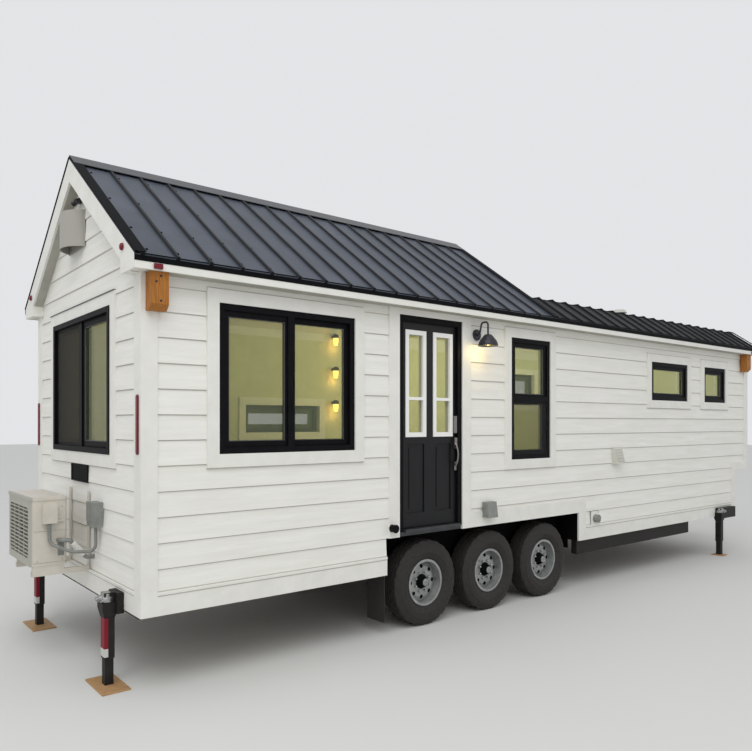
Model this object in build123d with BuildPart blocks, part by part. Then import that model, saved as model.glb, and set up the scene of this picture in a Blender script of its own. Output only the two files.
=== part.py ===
"""Tiny house on a triple-axle trailer, in millimetres.

+X runs from the rear gable towards the hitch, the entry door faces -Y, +Z is up.
The origin is on the ground, under the middle of the whole object's box.
"""

import os
from math import atan, ceil, cos, degrees, floor, radians, sin, sqrt

from build123d import *

# House body
house_width = 2590
house_length = 9790
lower_length = 9350
wall_thickness = 125
skirt_z = 555
floor_z = 920
floor_thickness = 60
plate_z = 2960
bump_out_z = 1210
bump_out_thickness = 120
cut_overrun = 20

# Roof
roof_slope_share = 0.75
eave_overhang = 120
eave_height = 100
deck_thickness = 150
rake_overhang = 90
steep_roof_length = 4650
low_roof_rise = 180
low_roof_crown = 40
low_roof_thickness = 200
front_overhang = 90
fascia_thickness = 20
fascia_drop = 5
metal_thickness = 6
metal_drip = 30
rib_height = 19
rib_width = 44
rib_top_width = 22
rib_spacing = 258.5
first_rib = 202
crown_lap = 15
ridge_cap_width = 165
ridge_cap_thickness = 4
step_wall_thickness = 100

# Entry doorway
door_x = 2430
door_opening_width = 840
door_header_height = 60
jamb_width = 40
jamb_reveal = 12
stop_width = 14
stop_depth = 22
door_gap = 7
door_thickness = 45
hinge_radius = 9
hinge_length = 100
hinge_plate = 30
hinge_plate_thickness = 3
hinge_clearance = 0.3
hinge_lift = 1
hinge_shares = (0.1, 0.5, 0.9)
hinge_knuckle_share = 1 / 3
threshold_height = 22
threshold_reach = 45
light_width = 268
light_gap = 94
light_frame_face = 42
light_bar_width = 28
light_proud = 8
light_bar_share = 0.36
light_head_rail = 80
light_height = 990
door_pane_thickness = 16
panel_rail = 130
panel_inset = 22
panel_depth = 10
panel_bevel = 34
handle_backset = 34
handle_width = 38
keypad_height = 165
keypad_thickness = 24
keypad_z = 1898
latch_height = 105
latch_thickness = 28
latch_z = 1718
grip_foot_width = 30
grip_foot_height = 80
grip_foot_thickness = 20
grip_foot_z = 1495
grip_radius = 9
grip_reach = 62
lever_rose_radius = 19
lever_rose_thickness = 10
lever_radius = 9
lever_standoff = 58
lever_thickness = 14
lever_length = 118

# Windows: reach from the near corner and width, then sills, heights and drops below the plate
living_span = (593, 1315)
hung_span = (4030, 680)
small_span_a = (6900, 975)
small_span_b = (8370, 670)
strip_span = (2290, 1090)
living_sill = 1680
hung_sill = 1530
gable_sill = 1670
tall_head_drop = 150
small_height = 500
small_head_drop = 250
strip_height = 330
strip_head_drop = 830
gable_window_width = 1470
gable_window_offset = 20
frame_face = 48
frame_depth = 85
frame_proud = 10
mullion_width = 62
pane_thickness = 22
casing_width = 100
casing_thickness = 24

# Trailer
rail_setback = 545
rail_width = 100
rail_height = 310
rail_web = 12
crossmember_width = 60
crossmember_height = 100
crossmember_count = 12
end_angle_width = 60
end_angle_height = 25
end_angle_setback = 60
tongue_reach = 1300
tongue_lap = 900
tongue_width = 70
tongue_height = 130
coupler_length = 240
coupler_flare = 160
coupler_width = 96
coupler_height = 110
ball_socket_radius = 29.8
ball_socket_depth = 50
side_beam_x = 5290
side_beam_end = 8000
side_beam_setback = 30
side_beam_width = 70
side_beam_z = 390

# Running gear
tyre_radius = 402.5
tyre_width = 235
tread_radius = 378
tread_width = 200
tread_flat = 168
rim_radius = 205
rim_flange = 14
rim_width = 178
rim_wall = 8
wheel_setback = 20
axle_count = 3
first_axle_x = 2835
axle_spacing = 920
axle_size = 76
spindle_radius = 25
spindle_clearance = 0.3
spindle_reach = 130
spindle_end_gap = 6
hub_radius = 62
hub_back = 118
hub_face = 66
hub_nose_share = 0.75
dish_offset = 30
dish_slope = 26
dish_thickness = 10
vent_hole_radius = 17
vent_circle_radius = 146
vent_hole_count = 8
backing_radius = 160
backing_thickness = 14
backing_gap = 30
bead_clearance = 0.3
well_start = 2280
well_end = 5260
well_top = 880
leaf_half_length = 395
leaf_rise = 70
leaf_thickness = 26
leaf_width = 60
flap_thickness = 8
flap_bottom = 120

# Stabiliser jacks
jack_setback = 110
rear_jack_inset = 375
front_jack_x = 8750
front_jack_setback = 58
jack_tube = 76
jack_wall = 6
jack_bottom = 205
jack_top = 680
jack_clearance = 0.3
jack_leg_top = 430
jack_foot = 150
jack_foot_thickness = 10
jack_bracket_width = 170
jack_bracket_height = 150
front_bracket_length = 480

# Fittings
condenser_width = 710
condenser_depth = 290
condenser_height = 540
condenser_gap = 200
condenser_y = 1040
condenser_z = 790
unit_corner = 22
unit_lid = 26
unit_lid_lip = 6
unit_foot_height = 40
unit_arm_inset = 30
unit_arm_spacing = 480
grille_margin = 58
grille_corner = 40
grille_depth = 60
slat_pitch = 30
slat_height = 9
slat_depth = 14
post_count = 3
post_width = 8
valve_cover_width = 107
valve_cover_reach = 60
valve_cover_height = 158
valve_cover_x = 145
valve_cover_drop = 46
bracket_arm = 40
bracket_plate = 6
bracket_upright = 645
trim_thickness = 20
corner_width = 105
skirt_board_height = 145
well_trim_width = 140
well_trim_height = 150
door_casing_width = 125
bracket_place_share = 0.15
bracket_width = 132
bracket_reach = 95
bracket_height = 268
bracket_toe = 40
lamp_x = 3490
lamp_drop = 170
lamp_plate_radius = 55
lamp_plate_thickness = 22
lamp_neck_radius = 9
lamp_neck_run = 50
lamp_neck_rise = 117
lamp_neck_bend = 34
shade_radius = 90
shade_neck = 36
shade_height = 110
shade_drop = 122
shade_wall = 4
lamp_reach = 245
hood_offset = 105
hood_width = 400
hood_reach = 150
hood_height = 305
hood_drop = 425
hood_wall = 5
cover_x = 6060
cover_width = 180
cover_height = 200
cover_z = 1420
cover_reach = 85
cover_top_reach = 35
roof_vent_bay_share = 28.5
roof_vent_y = 800
roof_vent_clearance = 12
roof_vent_radius = 60
roof_vent_height = 150
roof_vent_cap_radius = 100
roof_vent_cap_height = 45
roof_vent_cap_top_share = 0.7
outlet_x = 3645
outlet_width = 150
outlet_height = 155
outlet_z = 965
outlet_reach = 75
outlet_top_reach = 55
inlet_x = 5590
inlet_z = 790
inlet_plate = 170
inlet_plate_thickness = 20
inlet_radius = 46
inlet_reach = 70
drain_x = 2330
drain_z = 970
drain_radius = 32
drain_reach = 55
switch_y = 830
switch_width = 160
switch_height = 190
switch_depth = 90
switch_z = 1100
conduit_radius = 13
conduit_bend = 55
line_radius = 17
line_bend = 36
conduit_fall = 200
conduit_swing = 90
conduit_rise = 150
line_wall_inset = 65
line_wall_z = 835
line_stub = 70
line_unit_inset = 50
line_unit_z = 985

# Shared places, worked out from the sizes above
roof_angle = degrees(atan(roof_slope_share))
metal_lift = metal_thickness + rib_height
eave_reach = eave_overhang + metal_drip * cos(radians(roof_angle)) + metal_lift * sin(radians(roof_angle))
near_reach = condenser_gap + condenser_depth
hitch_reach = lower_length + tongue_reach
rear_x = (near_reach - hitch_reach) / 2
rail_spacing = house_width - 2 * rail_setback
tall_head = plate_z - tall_head_drop
small_head = plate_z - small_head_drop
strip_head = plate_z - strip_head_drop
living_window = (*living_span, living_sill, tall_head)
hung_window = (*hung_span, hung_sill, tall_head)
small_window_a = (*small_span_a, small_head - small_height, small_head)
small_window_b = (*small_span_b, small_head - small_height, small_head)
strip_window = (*strip_span, strip_head - strip_height, strip_head)
door_opening_top = plate_z - door_header_height
door_y = (lamp_reach - eave_reach) / 2 - house_width / 2
back_y = door_y + house_width
mid_y = door_y + house_width / 2
inner_door_y = door_y + wall_thickness
inner_back_y = back_y - wall_thickness
front_x = rear_x + house_length
lower_front_x = rear_x + lower_length
axle_z = tyre_radius
deck_z = floor_z - floor_thickness
rail_z = deck_z - rail_height
eave_z = plate_z + eave_height
half_span = house_width / 2 + eave_overhang
ridge_z = eave_z + roof_slope_share * half_span
deck_drop = deck_thickness / cos(radians(roof_angle))

os.makedirs("parts", exist_ok=True)


def block(x_span, y_span, z_span, mode=Mode.ADD):
    """Add or cut a box between two corners, inside the current part."""
    sizes = [span[1] - span[0] for span in (x_span, y_span, z_span)]
    centre = [(span[0] + span[1]) / 2 for span in (x_span, y_span, z_span)]
    with Locations(tuple(centre)):
        Box(*sizes, mode=mode)


def save(piece, label):
    """Name a finished piece and write it."""
    piece.part.label = label
    export_step(piece.part, f"parts/{label}.step")


def side_spans(window):
    """Turn a window's reach, width and heights into X and Z spans on a long wall."""
    reach, width, sill, head = window
    return (rear_x + reach, rear_x + reach + width), (sill, head)


def gable_spans():
    """Y and Z spans of the gable window."""
    centre = mid_y + gable_window_offset
    return (centre - gable_window_width / 2, centre + gable_window_width / 2), (gable_sill, tall_head)


def roof_z(y):
    """Height of the roof deck's top above a point across the house."""
    return ridge_z - roof_slope_share * abs(y - mid_y)


door_side_windows = (living_window, hung_window, small_window_a, small_window_b)
back_side_windows = (strip_window, small_window_a)
near_windows = (living_window,)
far_windows = (hung_window, small_window_a, small_window_b)
doorway_x = (rear_x + door_x, rear_x + door_x + door_opening_width)
door_wall_y = (door_y, inner_door_y)
back_wall_y = (inner_back_y, back_y)
wall_z = (skirt_z, plate_z)
well_x = (rear_x + well_start, rear_x + well_end)
well_z = (skirt_z - cut_overrun, well_top)
cut_door_y = (door_y - cut_overrun, inner_door_y + cut_overrun)
cut_back_y = (inner_back_y - cut_overrun, back_y + cut_overrun)

# Entry-side wall, in pieces round the doorway
with BuildPart() as door_wall_near:
    block((rear_x + wall_thickness, doorway_x[0]), door_wall_y, wall_z)
    for window in near_windows:
        window_x, window_z = side_spans(window)
        block(window_x, cut_door_y, window_z, mode=Mode.SUBTRACT)
    block((well_x[0], doorway_x[0] + cut_overrun), cut_door_y, well_z, mode=Mode.SUBTRACT)
save(door_wall_near, "door_wall_near")

with BuildPart() as door_header:
    block(doorway_x, door_wall_y, (door_opening_top, plate_z))
save(door_header, "door_header")

with BuildPart() as door_wall_far:
    block((doorway_x[1], front_x - wall_thickness), door_wall_y, wall_z)
    for window in far_windows:
        window_x, window_z = side_spans(window)
        block(window_x, cut_door_y, window_z, mode=Mode.SUBTRACT)
    block((doorway_x[1] - cut_overrun, well_x[1]), cut_door_y, well_z, mode=Mode.SUBTRACT)
    block(
        (lower_front_x - wall_thickness, front_x + cut_overrun),
        cut_door_y,
        (skirt_z - cut_overrun, bump_out_z),
        mode=Mode.SUBTRACT,
    )
save(door_wall_far, "door_wall_far")

# Back wall, with its strip window and the same wheel well
with BuildPart() as back_wall:
    block((rear_x + wall_thickness, front_x - wall_thickness), back_wall_y, wall_z)
    for window in back_side_windows:
        window_x, window_z = side_spans(window)
        block(window_x, cut_back_y, window_z, mode=Mode.SUBTRACT)
    block(well_x, cut_back_y, well_z, mode=Mode.SUBTRACT)
    block(
        (lower_front_x - wall_thickness, front_x + cut_overrun),
        cut_back_y,
        (skirt_z - cut_overrun, bump_out_z),
        mode=Mode.SUBTRACT,
    )
save(back_wall, "back_wall")

# Rear gable wall, up to the underside of the steep roof
with BuildPart() as gable_wall:
    with BuildSketch(Plane.YZ.offset(rear_x)):
        with BuildLine():
            Polyline(
                (door_y, skirt_z),
                (back_y, skirt_z),
                (back_y, plate_z),
                (inner_back_y, plate_z),
                (inner_back_y, roof_z(inner_back_y) - deck_drop),
                (mid_y, ridge_z - deck_drop),
                (inner_door_y, roof_z(inner_door_y) - deck_drop),
                (inner_door_y, plate_z),
                (door_y, plate_z),
                close=True,
            )
        make_face()
    extrude(amount=wall_thickness)
    window_y, window_z = gable_spans()
    cut_gable_x = (rear_x - cut_overrun, rear_x + wall_thickness + cut_overrun)
    block(cut_gable_x, window_y, window_z, mode=Mode.SUBTRACT)
save(gable_wall, "gable_wall")

# Hitch-end wall above the bump-out, the bump-out's floor, and the wall under it
low_ceiling_z = roof_z(door_y) + low_roof_rise - low_roof_thickness
with BuildPart() as front_wall:
    block((front_x - wall_thickness, front_x), (door_y, back_y), (bump_out_z, plate_z))
    block((front_x - wall_thickness, front_x), (inner_door_y, inner_back_y), (plate_z, low_ceiling_z))
save(front_wall, "front_wall")

with BuildPart() as bump_out_floor:
    block(
        (lower_front_x, front_x - wall_thickness),
        (inner_door_y, inner_back_y),
        (bump_out_z, bump_out_z + bump_out_thickness),
    )
save(bump_out_floor, "bump_out_floor")

with BuildPart() as lower_front_wall:
    block((lower_front_x - wall_thickness, lower_front_x), (door_y, back_y), (skirt_z, bump_out_z))
    block(
        (lower_front_x - wall_thickness, lower_front_x),
        (inner_door_y, inner_back_y),
        (bump_out_z, bump_out_z + bump_out_thickness),
    )
save(lower_front_wall, "lower_front_wall")

# Floor deck between the walls
with BuildPart() as floor_deck:
    block(
        (rear_x + wall_thickness, lower_front_x - wall_thickness),
        (inner_door_y, inner_back_y),
        (deck_z, floor_z),
    )
save(floor_deck, "floor_deck")

# Steep roof: one half on each long wall, meeting at the ridge
steep_x = (rear_x - rake_overhang, rear_x + steep_roof_length)
for side, label in ((-1, "steep_roof_door_side"), (1, "steep_roof_back_side")):
    wall_face = mid_y + side * house_width / 2
    wall_inside = wall_face - side * wall_thickness
    eave_y = wall_face + side * eave_overhang
    with BuildPart() as steep_roof_half:
        with BuildSketch(Plane.YZ.offset(steep_x[0])):
            with BuildLine():
                Polyline(
                    (eave_y, plate_z),
                    (wall_inside, plate_z),
                    (wall_inside, roof_z(wall_inside) - deck_drop),
                    (mid_y, ridge_z - deck_drop),
                    (mid_y, ridge_z),
                    (eave_y, eave_z),
                    close=True,
                )
            make_face()
        extrude(amount=steep_x[1] - steep_x[0])
    save(steep_roof_half, label)

# Low roof over the hitch end: steep edge bands and a slightly crowned top
low_x = (steep_x[1], front_x + front_overhang)
band_top_z = roof_z(door_y) + low_roof_rise
band_run = (band_top_z - eave_z) / roof_slope_share
with BuildPart() as low_roof:
    with BuildSketch(Plane.YZ.offset(low_x[0])):
        with BuildLine():
            Polyline(
                (door_y - eave_overhang, plate_z),
                (inner_door_y, plate_z),
                (inner_door_y, low_ceiling_z),
                (inner_back_y, low_ceiling_z),
                (inner_back_y, plate_z),
                (back_y + eave_overhang, plate_z),
                (back_y + eave_overhang, eave_z),
                (back_y + eave_overhang - band_run, band_top_z),
                (mid_y, band_top_z + low_roof_crown),
                (door_y - eave_overhang + band_run, band_top_z),
                (door_y - eave_overhang, eave_z),
                close=True,
            )
        make_face()
    extrude(amount=low_x[1] - low_x[0])
save(low_roof, "low_roof")

# Triangular wall where the steep roof ends above the low one
with BuildPart() as roof_step_wall:
    with BuildSketch(Plane.YZ.offset(steep_x[1] - step_wall_thickness)):
        with BuildLine():
            Polyline(
                (inner_door_y, roof_z(inner_door_y) - deck_drop),
                (mid_y, ridge_z - deck_drop),
                (inner_back_y, roof_z(inner_back_y) - deck_drop),
                close=True,
            )
        make_face()
    extrude(amount=step_wall_thickness)
save(roof_step_wall, "roof_step_wall")


def rib_places(x_span):
    """Places of the ribs along a sheet, counted from the rear gable."""
    first = ceil((x_span[0] + rib_width - rear_x - first_rib) / rib_spacing)
    last = floor((x_span[1] - rib_width - rear_x - first_rib) / rib_spacing)
    return [rear_x + first_rib + number * rib_spacing for number in range(first, last + 1)]


def metal_profile(side, x_span):
    """Ribbed section of the roof metal, in the current sketch: X along the eave, Y off the deck."""
    # The sketch's X axis is mirrored on the back slope
    start, end = sorted(-side * x for x in x_span)
    with Locations(((start + end) / 2, metal_thickness / 2)):
        Rectangle(end - start, metal_thickness)
    for place in rib_places(x_span):
        rib_x = -side * place
        Polygon(
            (rib_x - rib_width / 2, 0),
            (rib_x + rib_width / 2, 0),
            (rib_x + rib_top_width / 2, metal_thickness + rib_height),
            (rib_x - rib_top_width / 2, metal_thickness + rib_height),
            align=None,
        )


def slope_plane(side, top_z=ridge_z, angle=radians(roof_angle)):
    """Plane at a ridge, square to one slope: X along the ridge, Y off the deck, facing down the slope."""
    downhill = (0, side * cos(angle), -sin(angle))
    return Plane(origin=(0, mid_y, top_z), x_dir=(-side, 0, 0), z_dir=downhill)


slope_length = sqrt(half_span**2 + (half_span * roof_slope_share) ** 2) + metal_drip
band_length = sqrt(band_run**2 + (band_run * roof_slope_share) ** 2) + metal_drip
crown_run = half_span - band_run
crown_z = band_top_z + low_roof_crown
crown_angle = atan(low_roof_crown / crown_run)
crown_length = crown_run / cos(crown_angle)
metal_x = (steep_x[0] - fascia_thickness, steep_x[1])
low_metal_x = (steep_x[1], low_x[1] + fascia_thickness)
with BuildPart() as steep_metal:
    for side in (-1, 1):
        with BuildSketch(slope_plane(side)):
            metal_profile(side, metal_x)
        extrude(amount=slope_length)
save(steep_metal, "steep_metal")

with BuildPart() as low_metal:
    for side in (-1, 1):
        with BuildSketch(slope_plane(side).offset(slope_length - band_length)):
            metal_profile(side, low_metal_x)
        extrude(amount=band_length)
        with BuildSketch(slope_plane(side, crown_z, crown_angle)):
            metal_profile(side, low_metal_x)
        extrude(amount=crown_length + crown_lap)
save(low_metal, "low_metal")

# Folded caps over both ridges, resting on the ribs
with BuildPart() as ridge_cap:
    for cap_x, top_z, angle in (
        (metal_x, ridge_z, radians(roof_angle)),
        (low_metal_x, crown_z, crown_angle),
    ):
        cap_lift = metal_lift / cos(angle)
        cap_drop = ridge_cap_thickness / cos(angle)
        cap_run = ridge_cap_width * cos(angle)
        cap_fall = ridge_cap_width * sin(angle)
        with BuildSketch(Plane.YZ.offset(cap_x[0])):
            Polygon(
                (mid_y - cap_run, top_z + cap_lift - cap_fall),
                (mid_y, top_z + cap_lift),
                (mid_y + cap_run, top_z + cap_lift - cap_fall),
                (mid_y + cap_run, top_z + cap_lift - cap_fall + cap_drop),
                (mid_y, top_z + cap_lift + cap_drop),
                (mid_y - cap_run, top_z + cap_lift - cap_fall + cap_drop),
                align=None,
            )
        extrude(amount=cap_x[1] - cap_x[0])
save(ridge_cap, "ridge_cap")

# Fascia boards along both eaves
fascia_z = (plate_z - fascia_drop, eave_z - fascia_thickness * roof_slope_share)
fascia_x = (steep_x[0], low_x[1])
with BuildPart() as fascia_boards:
    for side in (-1, 1):
        face = mid_y + side * half_span
        block(fascia_x, sorted((face, face + side * fascia_thickness)), fascia_z)
save(fascia_boards, "fascia_boards")

# Rake boards up the rear gable's edges
with BuildPart() as rake_boards:
    with BuildSketch(Plane.YZ.offset(steep_x[0] - fascia_thickness)):
        with BuildLine():
            Polyline(
                (mid_y - half_span - fascia_thickness, plate_z - fascia_drop),
                (inner_door_y, plate_z - fascia_drop),
                (inner_door_y, roof_z(inner_door_y) - deck_drop),
                (mid_y, ridge_z - deck_drop),
                (inner_back_y, roof_z(inner_back_y) - deck_drop),
                (inner_back_y, plate_z - fascia_drop),
                (mid_y + half_span + fascia_thickness, plate_z - fascia_drop),
                (mid_y + half_span + fascia_thickness, eave_z - fascia_thickness * roof_slope_share),
                (mid_y, ridge_z),
                (mid_y - half_span - fascia_thickness, eave_z - fascia_thickness * roof_slope_share),
                close=True,
            )
        make_face()
    extrude(amount=fascia_thickness)
save(rake_boards, "rake_boards")


def ring(x_span, y_span, z_span, face, along):
    """Add a rectangular frame, open along the given axis, inside the current part."""
    block(x_span, y_span, z_span)
    inner = {
        "y": ((x_span[0] + face, x_span[1] - face), y_span, (z_span[0] + face, z_span[1] - face)),
        "x": (x_span, (y_span[0] + face, y_span[1] - face), (z_span[0] + face, z_span[1] - face)),
    }[along]
    block(*inner, mode=Mode.SUBTRACT)


def inset(span, distance):
    """Shorten a span by a distance at each end."""
    return (span[0] + distance, span[1] - distance)


def middle(span, width):
    """A span of one width about the middle of another."""
    centre = (span[0] + span[1]) / 2
    return (centre - width / 2, centre + width / 2)


# Window frames, each with its mullion or meeting rail
frame_door_y = (door_y - frame_proud, door_y - frame_proud + frame_depth)
frame_back_y = (back_y + frame_proud - frame_depth, back_y + frame_proud)
frame_gable_x = (rear_x - frame_proud, rear_x - frame_proud + frame_depth)

with BuildPart() as window_frames:
    for window in door_side_windows:
        window_x, window_z = side_spans(window)
        ring(window_x, frame_door_y, window_z, frame_face, "y")
    window_x, window_z = side_spans(living_window)
    block(middle(window_x, mullion_width), frame_door_y, inset(window_z, frame_face))
    window_x, window_z = side_spans(hung_window)
    block(inset(window_x, frame_face), frame_door_y, middle(window_z, mullion_width))
    for window in back_side_windows:
        window_x, window_z = side_spans(window)
        ring(window_x, frame_back_y, window_z, frame_face, "y")
    window_y, window_z = gable_spans()
    ring(frame_gable_x, window_y, window_z, frame_face, "x")
    block(frame_gable_x, middle(window_y, mullion_width), inset(window_z, frame_face))
save(window_frames, "window_frames")

# Panes, one solid for each light
pane_door_y = middle(frame_door_y, pane_thickness)
pane_back_y = middle(frame_back_y, pane_thickness)
pane_gable_x = middle(frame_gable_x, pane_thickness)


def halves(span):
    """The two clear spans either side of a mullion."""
    clear = inset(span, frame_face)
    bar = middle(span, mullion_width)
    return (clear[0], bar[0]), (bar[1], clear[1])


with BuildPart() as window_panes:
    window_x, window_z = side_spans(living_window)
    for half in halves(window_x):
        block(half, pane_door_y, inset(window_z, frame_face))
    window_x, window_z = side_spans(hung_window)
    for half in halves(window_z):
        block(inset(window_x, frame_face), pane_door_y, half)
    for window in (small_window_a, small_window_b):
        window_x, window_z = side_spans(window)
        block(inset(window_x, frame_face), pane_door_y, inset(window_z, frame_face))
    for window in back_side_windows:
        window_x, window_z = side_spans(window)
        block(inset(window_x, frame_face), pane_back_y, inset(window_z, frame_face))
    window_y, window_z = gable_spans()
    for half in halves(window_y):
        block(pane_gable_x, half, inset(window_z, frame_face))
save(window_panes, "window_panes")

# Casing boards round each window, on the faces of the walls
with BuildPart() as window_casings:
    for window in door_side_windows:
        window_x, window_z = side_spans(window)
        casing_y = (door_y - casing_thickness, door_y)
        ring(inset(window_x, -casing_width), casing_y, inset(window_z, -casing_width), casing_width, "y")
    for window in back_side_windows:
        window_x, window_z = side_spans(window)
        casing_y = (back_y, back_y + casing_thickness)
        ring(inset(window_x, -casing_width), casing_y, inset(window_z, -casing_width), casing_width, "y")
    window_y, window_z = gable_spans()
    casing_x = (rear_x - casing_thickness, rear_x)
    ring(casing_x, inset(window_y, -casing_width), inset(window_z, -casing_width), casing_width, "x")
    door_side_x = inset(doorway_x, -door_casing_width)
    casing_y = (door_y - casing_thickness, door_y)
    block(door_side_x, casing_y, (well_top, plate_z))
    block(doorway_x, casing_y, (well_top, door_opening_top), mode=Mode.SUBTRACT)
save(window_casings, "window_casings")

# Door frame: two jambs, a head and the stops outside the leaf
leaf_face = door_y - jamb_reveal + stop_depth + door_gap
leaf_y = (leaf_face, leaf_face + door_thickness)
frame_y = (door_y - jamb_reveal, leaf_y[1])
leaf_x = inset(doorway_x, jamb_width + door_gap)
leaf_z = (floor_z + threshold_height + door_gap, door_opening_top - jamb_width - door_gap)
hinge_x = leaf_x[0] - door_gap / 2
hinge_y = leaf_y[1] + hinge_lift + hinge_radius
hinge_heights = [leaf_z[0] + share * (leaf_z[1] - leaf_z[0]) for share in hinge_shares]
knuckle = hinge_length * hinge_knuckle_share


def hinge_barrel(low, high):
    """Add one knuckle of a hinge between two heights, inside the current part."""
    with Locations((hinge_x, hinge_y, (low + high) / 2)):
        Cylinder(hinge_radius, high - low)


with BuildPart() as door_frame:
    for height in hinge_heights:
        for low in (height - hinge_length / 2, height + knuckle / 2):
            hinge_barrel(low, low + knuckle)
            block(
                (hinge_x - hinge_plate, hinge_x),
                (frame_y[1], frame_y[1] + hinge_plate_thickness),
                (low, low + knuckle),
            )
    for side in (0, 1):
        outer = doorway_x[side]
        inward = 1 if side == 0 else -1
        block(sorted((outer, outer + inward * jamb_width)), frame_y, (floor_z, door_opening_top))
        block(
            sorted((outer, outer + inward * (jamb_width + stop_width))),
            (frame_y[0], frame_y[0] + stop_depth),
            (floor_z, door_opening_top),
        )
    block(doorway_x, frame_y, (door_opening_top - jamb_width, door_opening_top))
    block(
        doorway_x,
        (frame_y[0], frame_y[0] + stop_depth),
        (door_opening_top - jamb_width - stop_width, door_opening_top),
    )
save(door_frame, "door_frame")

# Threshold, on a sill beam over the wheel well
with BuildPart() as door_threshold:
    block(
        inset(doorway_x, jamb_width + stop_width),
        (door_y - threshold_reach, inner_door_y),
        (floor_z, floor_z + threshold_height),
    )
    block(doorway_x, (door_y, inner_door_y), (well_top, floor_z))
save(door_threshold, "door_threshold")

# Trailer rails: I-beams with spring hangers, and the side beams ahead of the wheels
axle_places = [rear_x + first_axle_x + number * axle_spacing for number in range(axle_count)]
spring_z = axle_z + axle_size / 2
hanger_z = (spring_z + leaf_rise - leaf_thickness, rail_z)
hanger_length = axle_spacing - 2 * leaf_half_length
hanger_starts = [axle_x + leaf_half_length for axle_x in axle_places]
hanger_starts.insert(0, axle_places[0] - leaf_half_length - hanger_length)
with BuildPart() as main_rails:
    for side in (-1, 1):
        centre = mid_y + side * rail_spacing / 2
        rail_x = (rear_x + wall_thickness, lower_front_x - wall_thickness)
        block(rail_x, (centre - rail_width / 2, centre + rail_width / 2), (rail_z, deck_z))
        for flank in (-1, 1):
            web_face = centre + flank * rail_web / 2
            flange = centre + flank * rail_width / 2
            hollow_y = sorted((web_face, flange + flank * cut_overrun))
            block(rail_x, hollow_y, inset((rail_z, deck_z), rail_web), mode=Mode.SUBTRACT)
        for start in hanger_starts:
            block((start, start + hanger_length), middle((centre, centre), leaf_width), hanger_z)
        outer = mid_y + side * (house_width / 2 - side_beam_setback)
        beam_y = sorted((outer, outer - side * side_beam_width))
        block((rear_x + side_beam_x, rear_x + side_beam_end), beam_y, (side_beam_z, skirt_z))
save(main_rails, "main_rails")

with BuildPart() as crossmembers:
    pitch = (lower_length - 2 * wall_thickness - crossmember_width) / (crossmember_count - 1)
    web_y = (mid_y - rail_spacing / 2 + rail_web / 2, mid_y + rail_spacing / 2 - rail_web / 2)
    for number in range(crossmember_count):
        start = rear_x + wall_thickness + number * pitch
        block(
            (start, start + crossmember_width),
            web_y,
            (deck_z - rail_web - crossmember_height, deck_z - rail_web),
        )
    block(
        (rear_x, rear_x + end_angle_width),
        (door_y + end_angle_setback, back_y - end_angle_setback),
        (skirt_z - end_angle_height, skirt_z),
    )
save(crossmembers, "crossmembers")

# Tongue: two bars welded under the rails, which run in to the coupler
bar_start = Vector(lower_front_x - tongue_lap, mid_y + rail_spacing / 2, 0)
bar_end = Vector(rear_x + hitch_reach - coupler_length, mid_y + coupler_width / 2, 0)
bar_run = (bar_end - bar_start).normalized()
bar_across = Vector(-bar_run.Y, bar_run.X, 0) * tongue_width
tongue_z = (rail_z - tongue_height, rail_z)
with BuildPart() as tongue_bars:
    corners = (bar_start, bar_end, bar_end + bar_across, bar_start + bar_across)
    with BuildSketch(Plane.XY.offset(tongue_z[0])):
        for side in (-1, 1):
            Polygon(*[(corner.X, mid_y + side * (corner.Y - mid_y)) for corner in corners], align=None)
    extrude(amount=tongue_height)
save(tongue_bars, "tongue_bars")

# Coupler between the bars' ends, with a socket for the tow ball
flare_half = coupler_width / 2 - coupler_flare * bar_run.Y / bar_run.X
nose_x = rear_x + hitch_reach
with BuildPart() as hitch_coupler:
    with BuildSketch(Plane.XY.offset(tongue_z[0])):
        Polygon(
            (bar_end.X - coupler_flare, mid_y - flare_half),
            (bar_end.X, mid_y - coupler_width / 2),
            (nose_x - coupler_width / 2, mid_y - coupler_width / 2),
            (nose_x - coupler_width / 2, mid_y + coupler_width / 2),
            (bar_end.X, mid_y + coupler_width / 2),
            (bar_end.X - coupler_flare, mid_y + flare_half),
            align=None,
        )
        with Locations((nose_x - coupler_width / 2, mid_y)):
            Circle(coupler_width / 2)
    extrude(amount=coupler_height)
    with BuildSketch(Plane.XY.offset(tongue_z[0])):
        with Locations((nose_x - coupler_width / 2, mid_y)):
            Circle(ball_socket_radius)
    extrude(amount=ball_socket_depth, mode=Mode.SUBTRACT)
save(hitch_coupler, "hitch_coupler")

# Axles: square tubes with a spindle and a brake backing plate at each end
wheel_centre = house_width / 2 - wheel_setback - tyre_width / 2
hub_inner = wheel_centre - hub_back
backing_outer = hub_inner - backing_gap
with BuildPart() as axles:
    for axle_x in axle_places:
        tube_half = backing_outer - backing_thickness
        block(
            (axle_x - axle_size / 2, axle_x + axle_size / 2),
            (mid_y - tube_half, mid_y + tube_half),
            (axle_z - axle_size / 2, axle_z + axle_size / 2),
        )
        for side in (-1, 1):
            with BuildSketch(Plane.XZ.offset(-mid_y - side * tube_half)):
                with Locations((axle_x, axle_z)):
                    Circle(backing_radius)
            extrude(amount=-side * backing_thickness)
            with BuildSketch(Plane.XZ.offset(-mid_y - side * backing_outer)):
                with Locations((axle_x, axle_z)):
                    Circle(spindle_radius)
            extrude(amount=-side * (backing_gap + spindle_reach))
save(axles, "axles")

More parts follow.
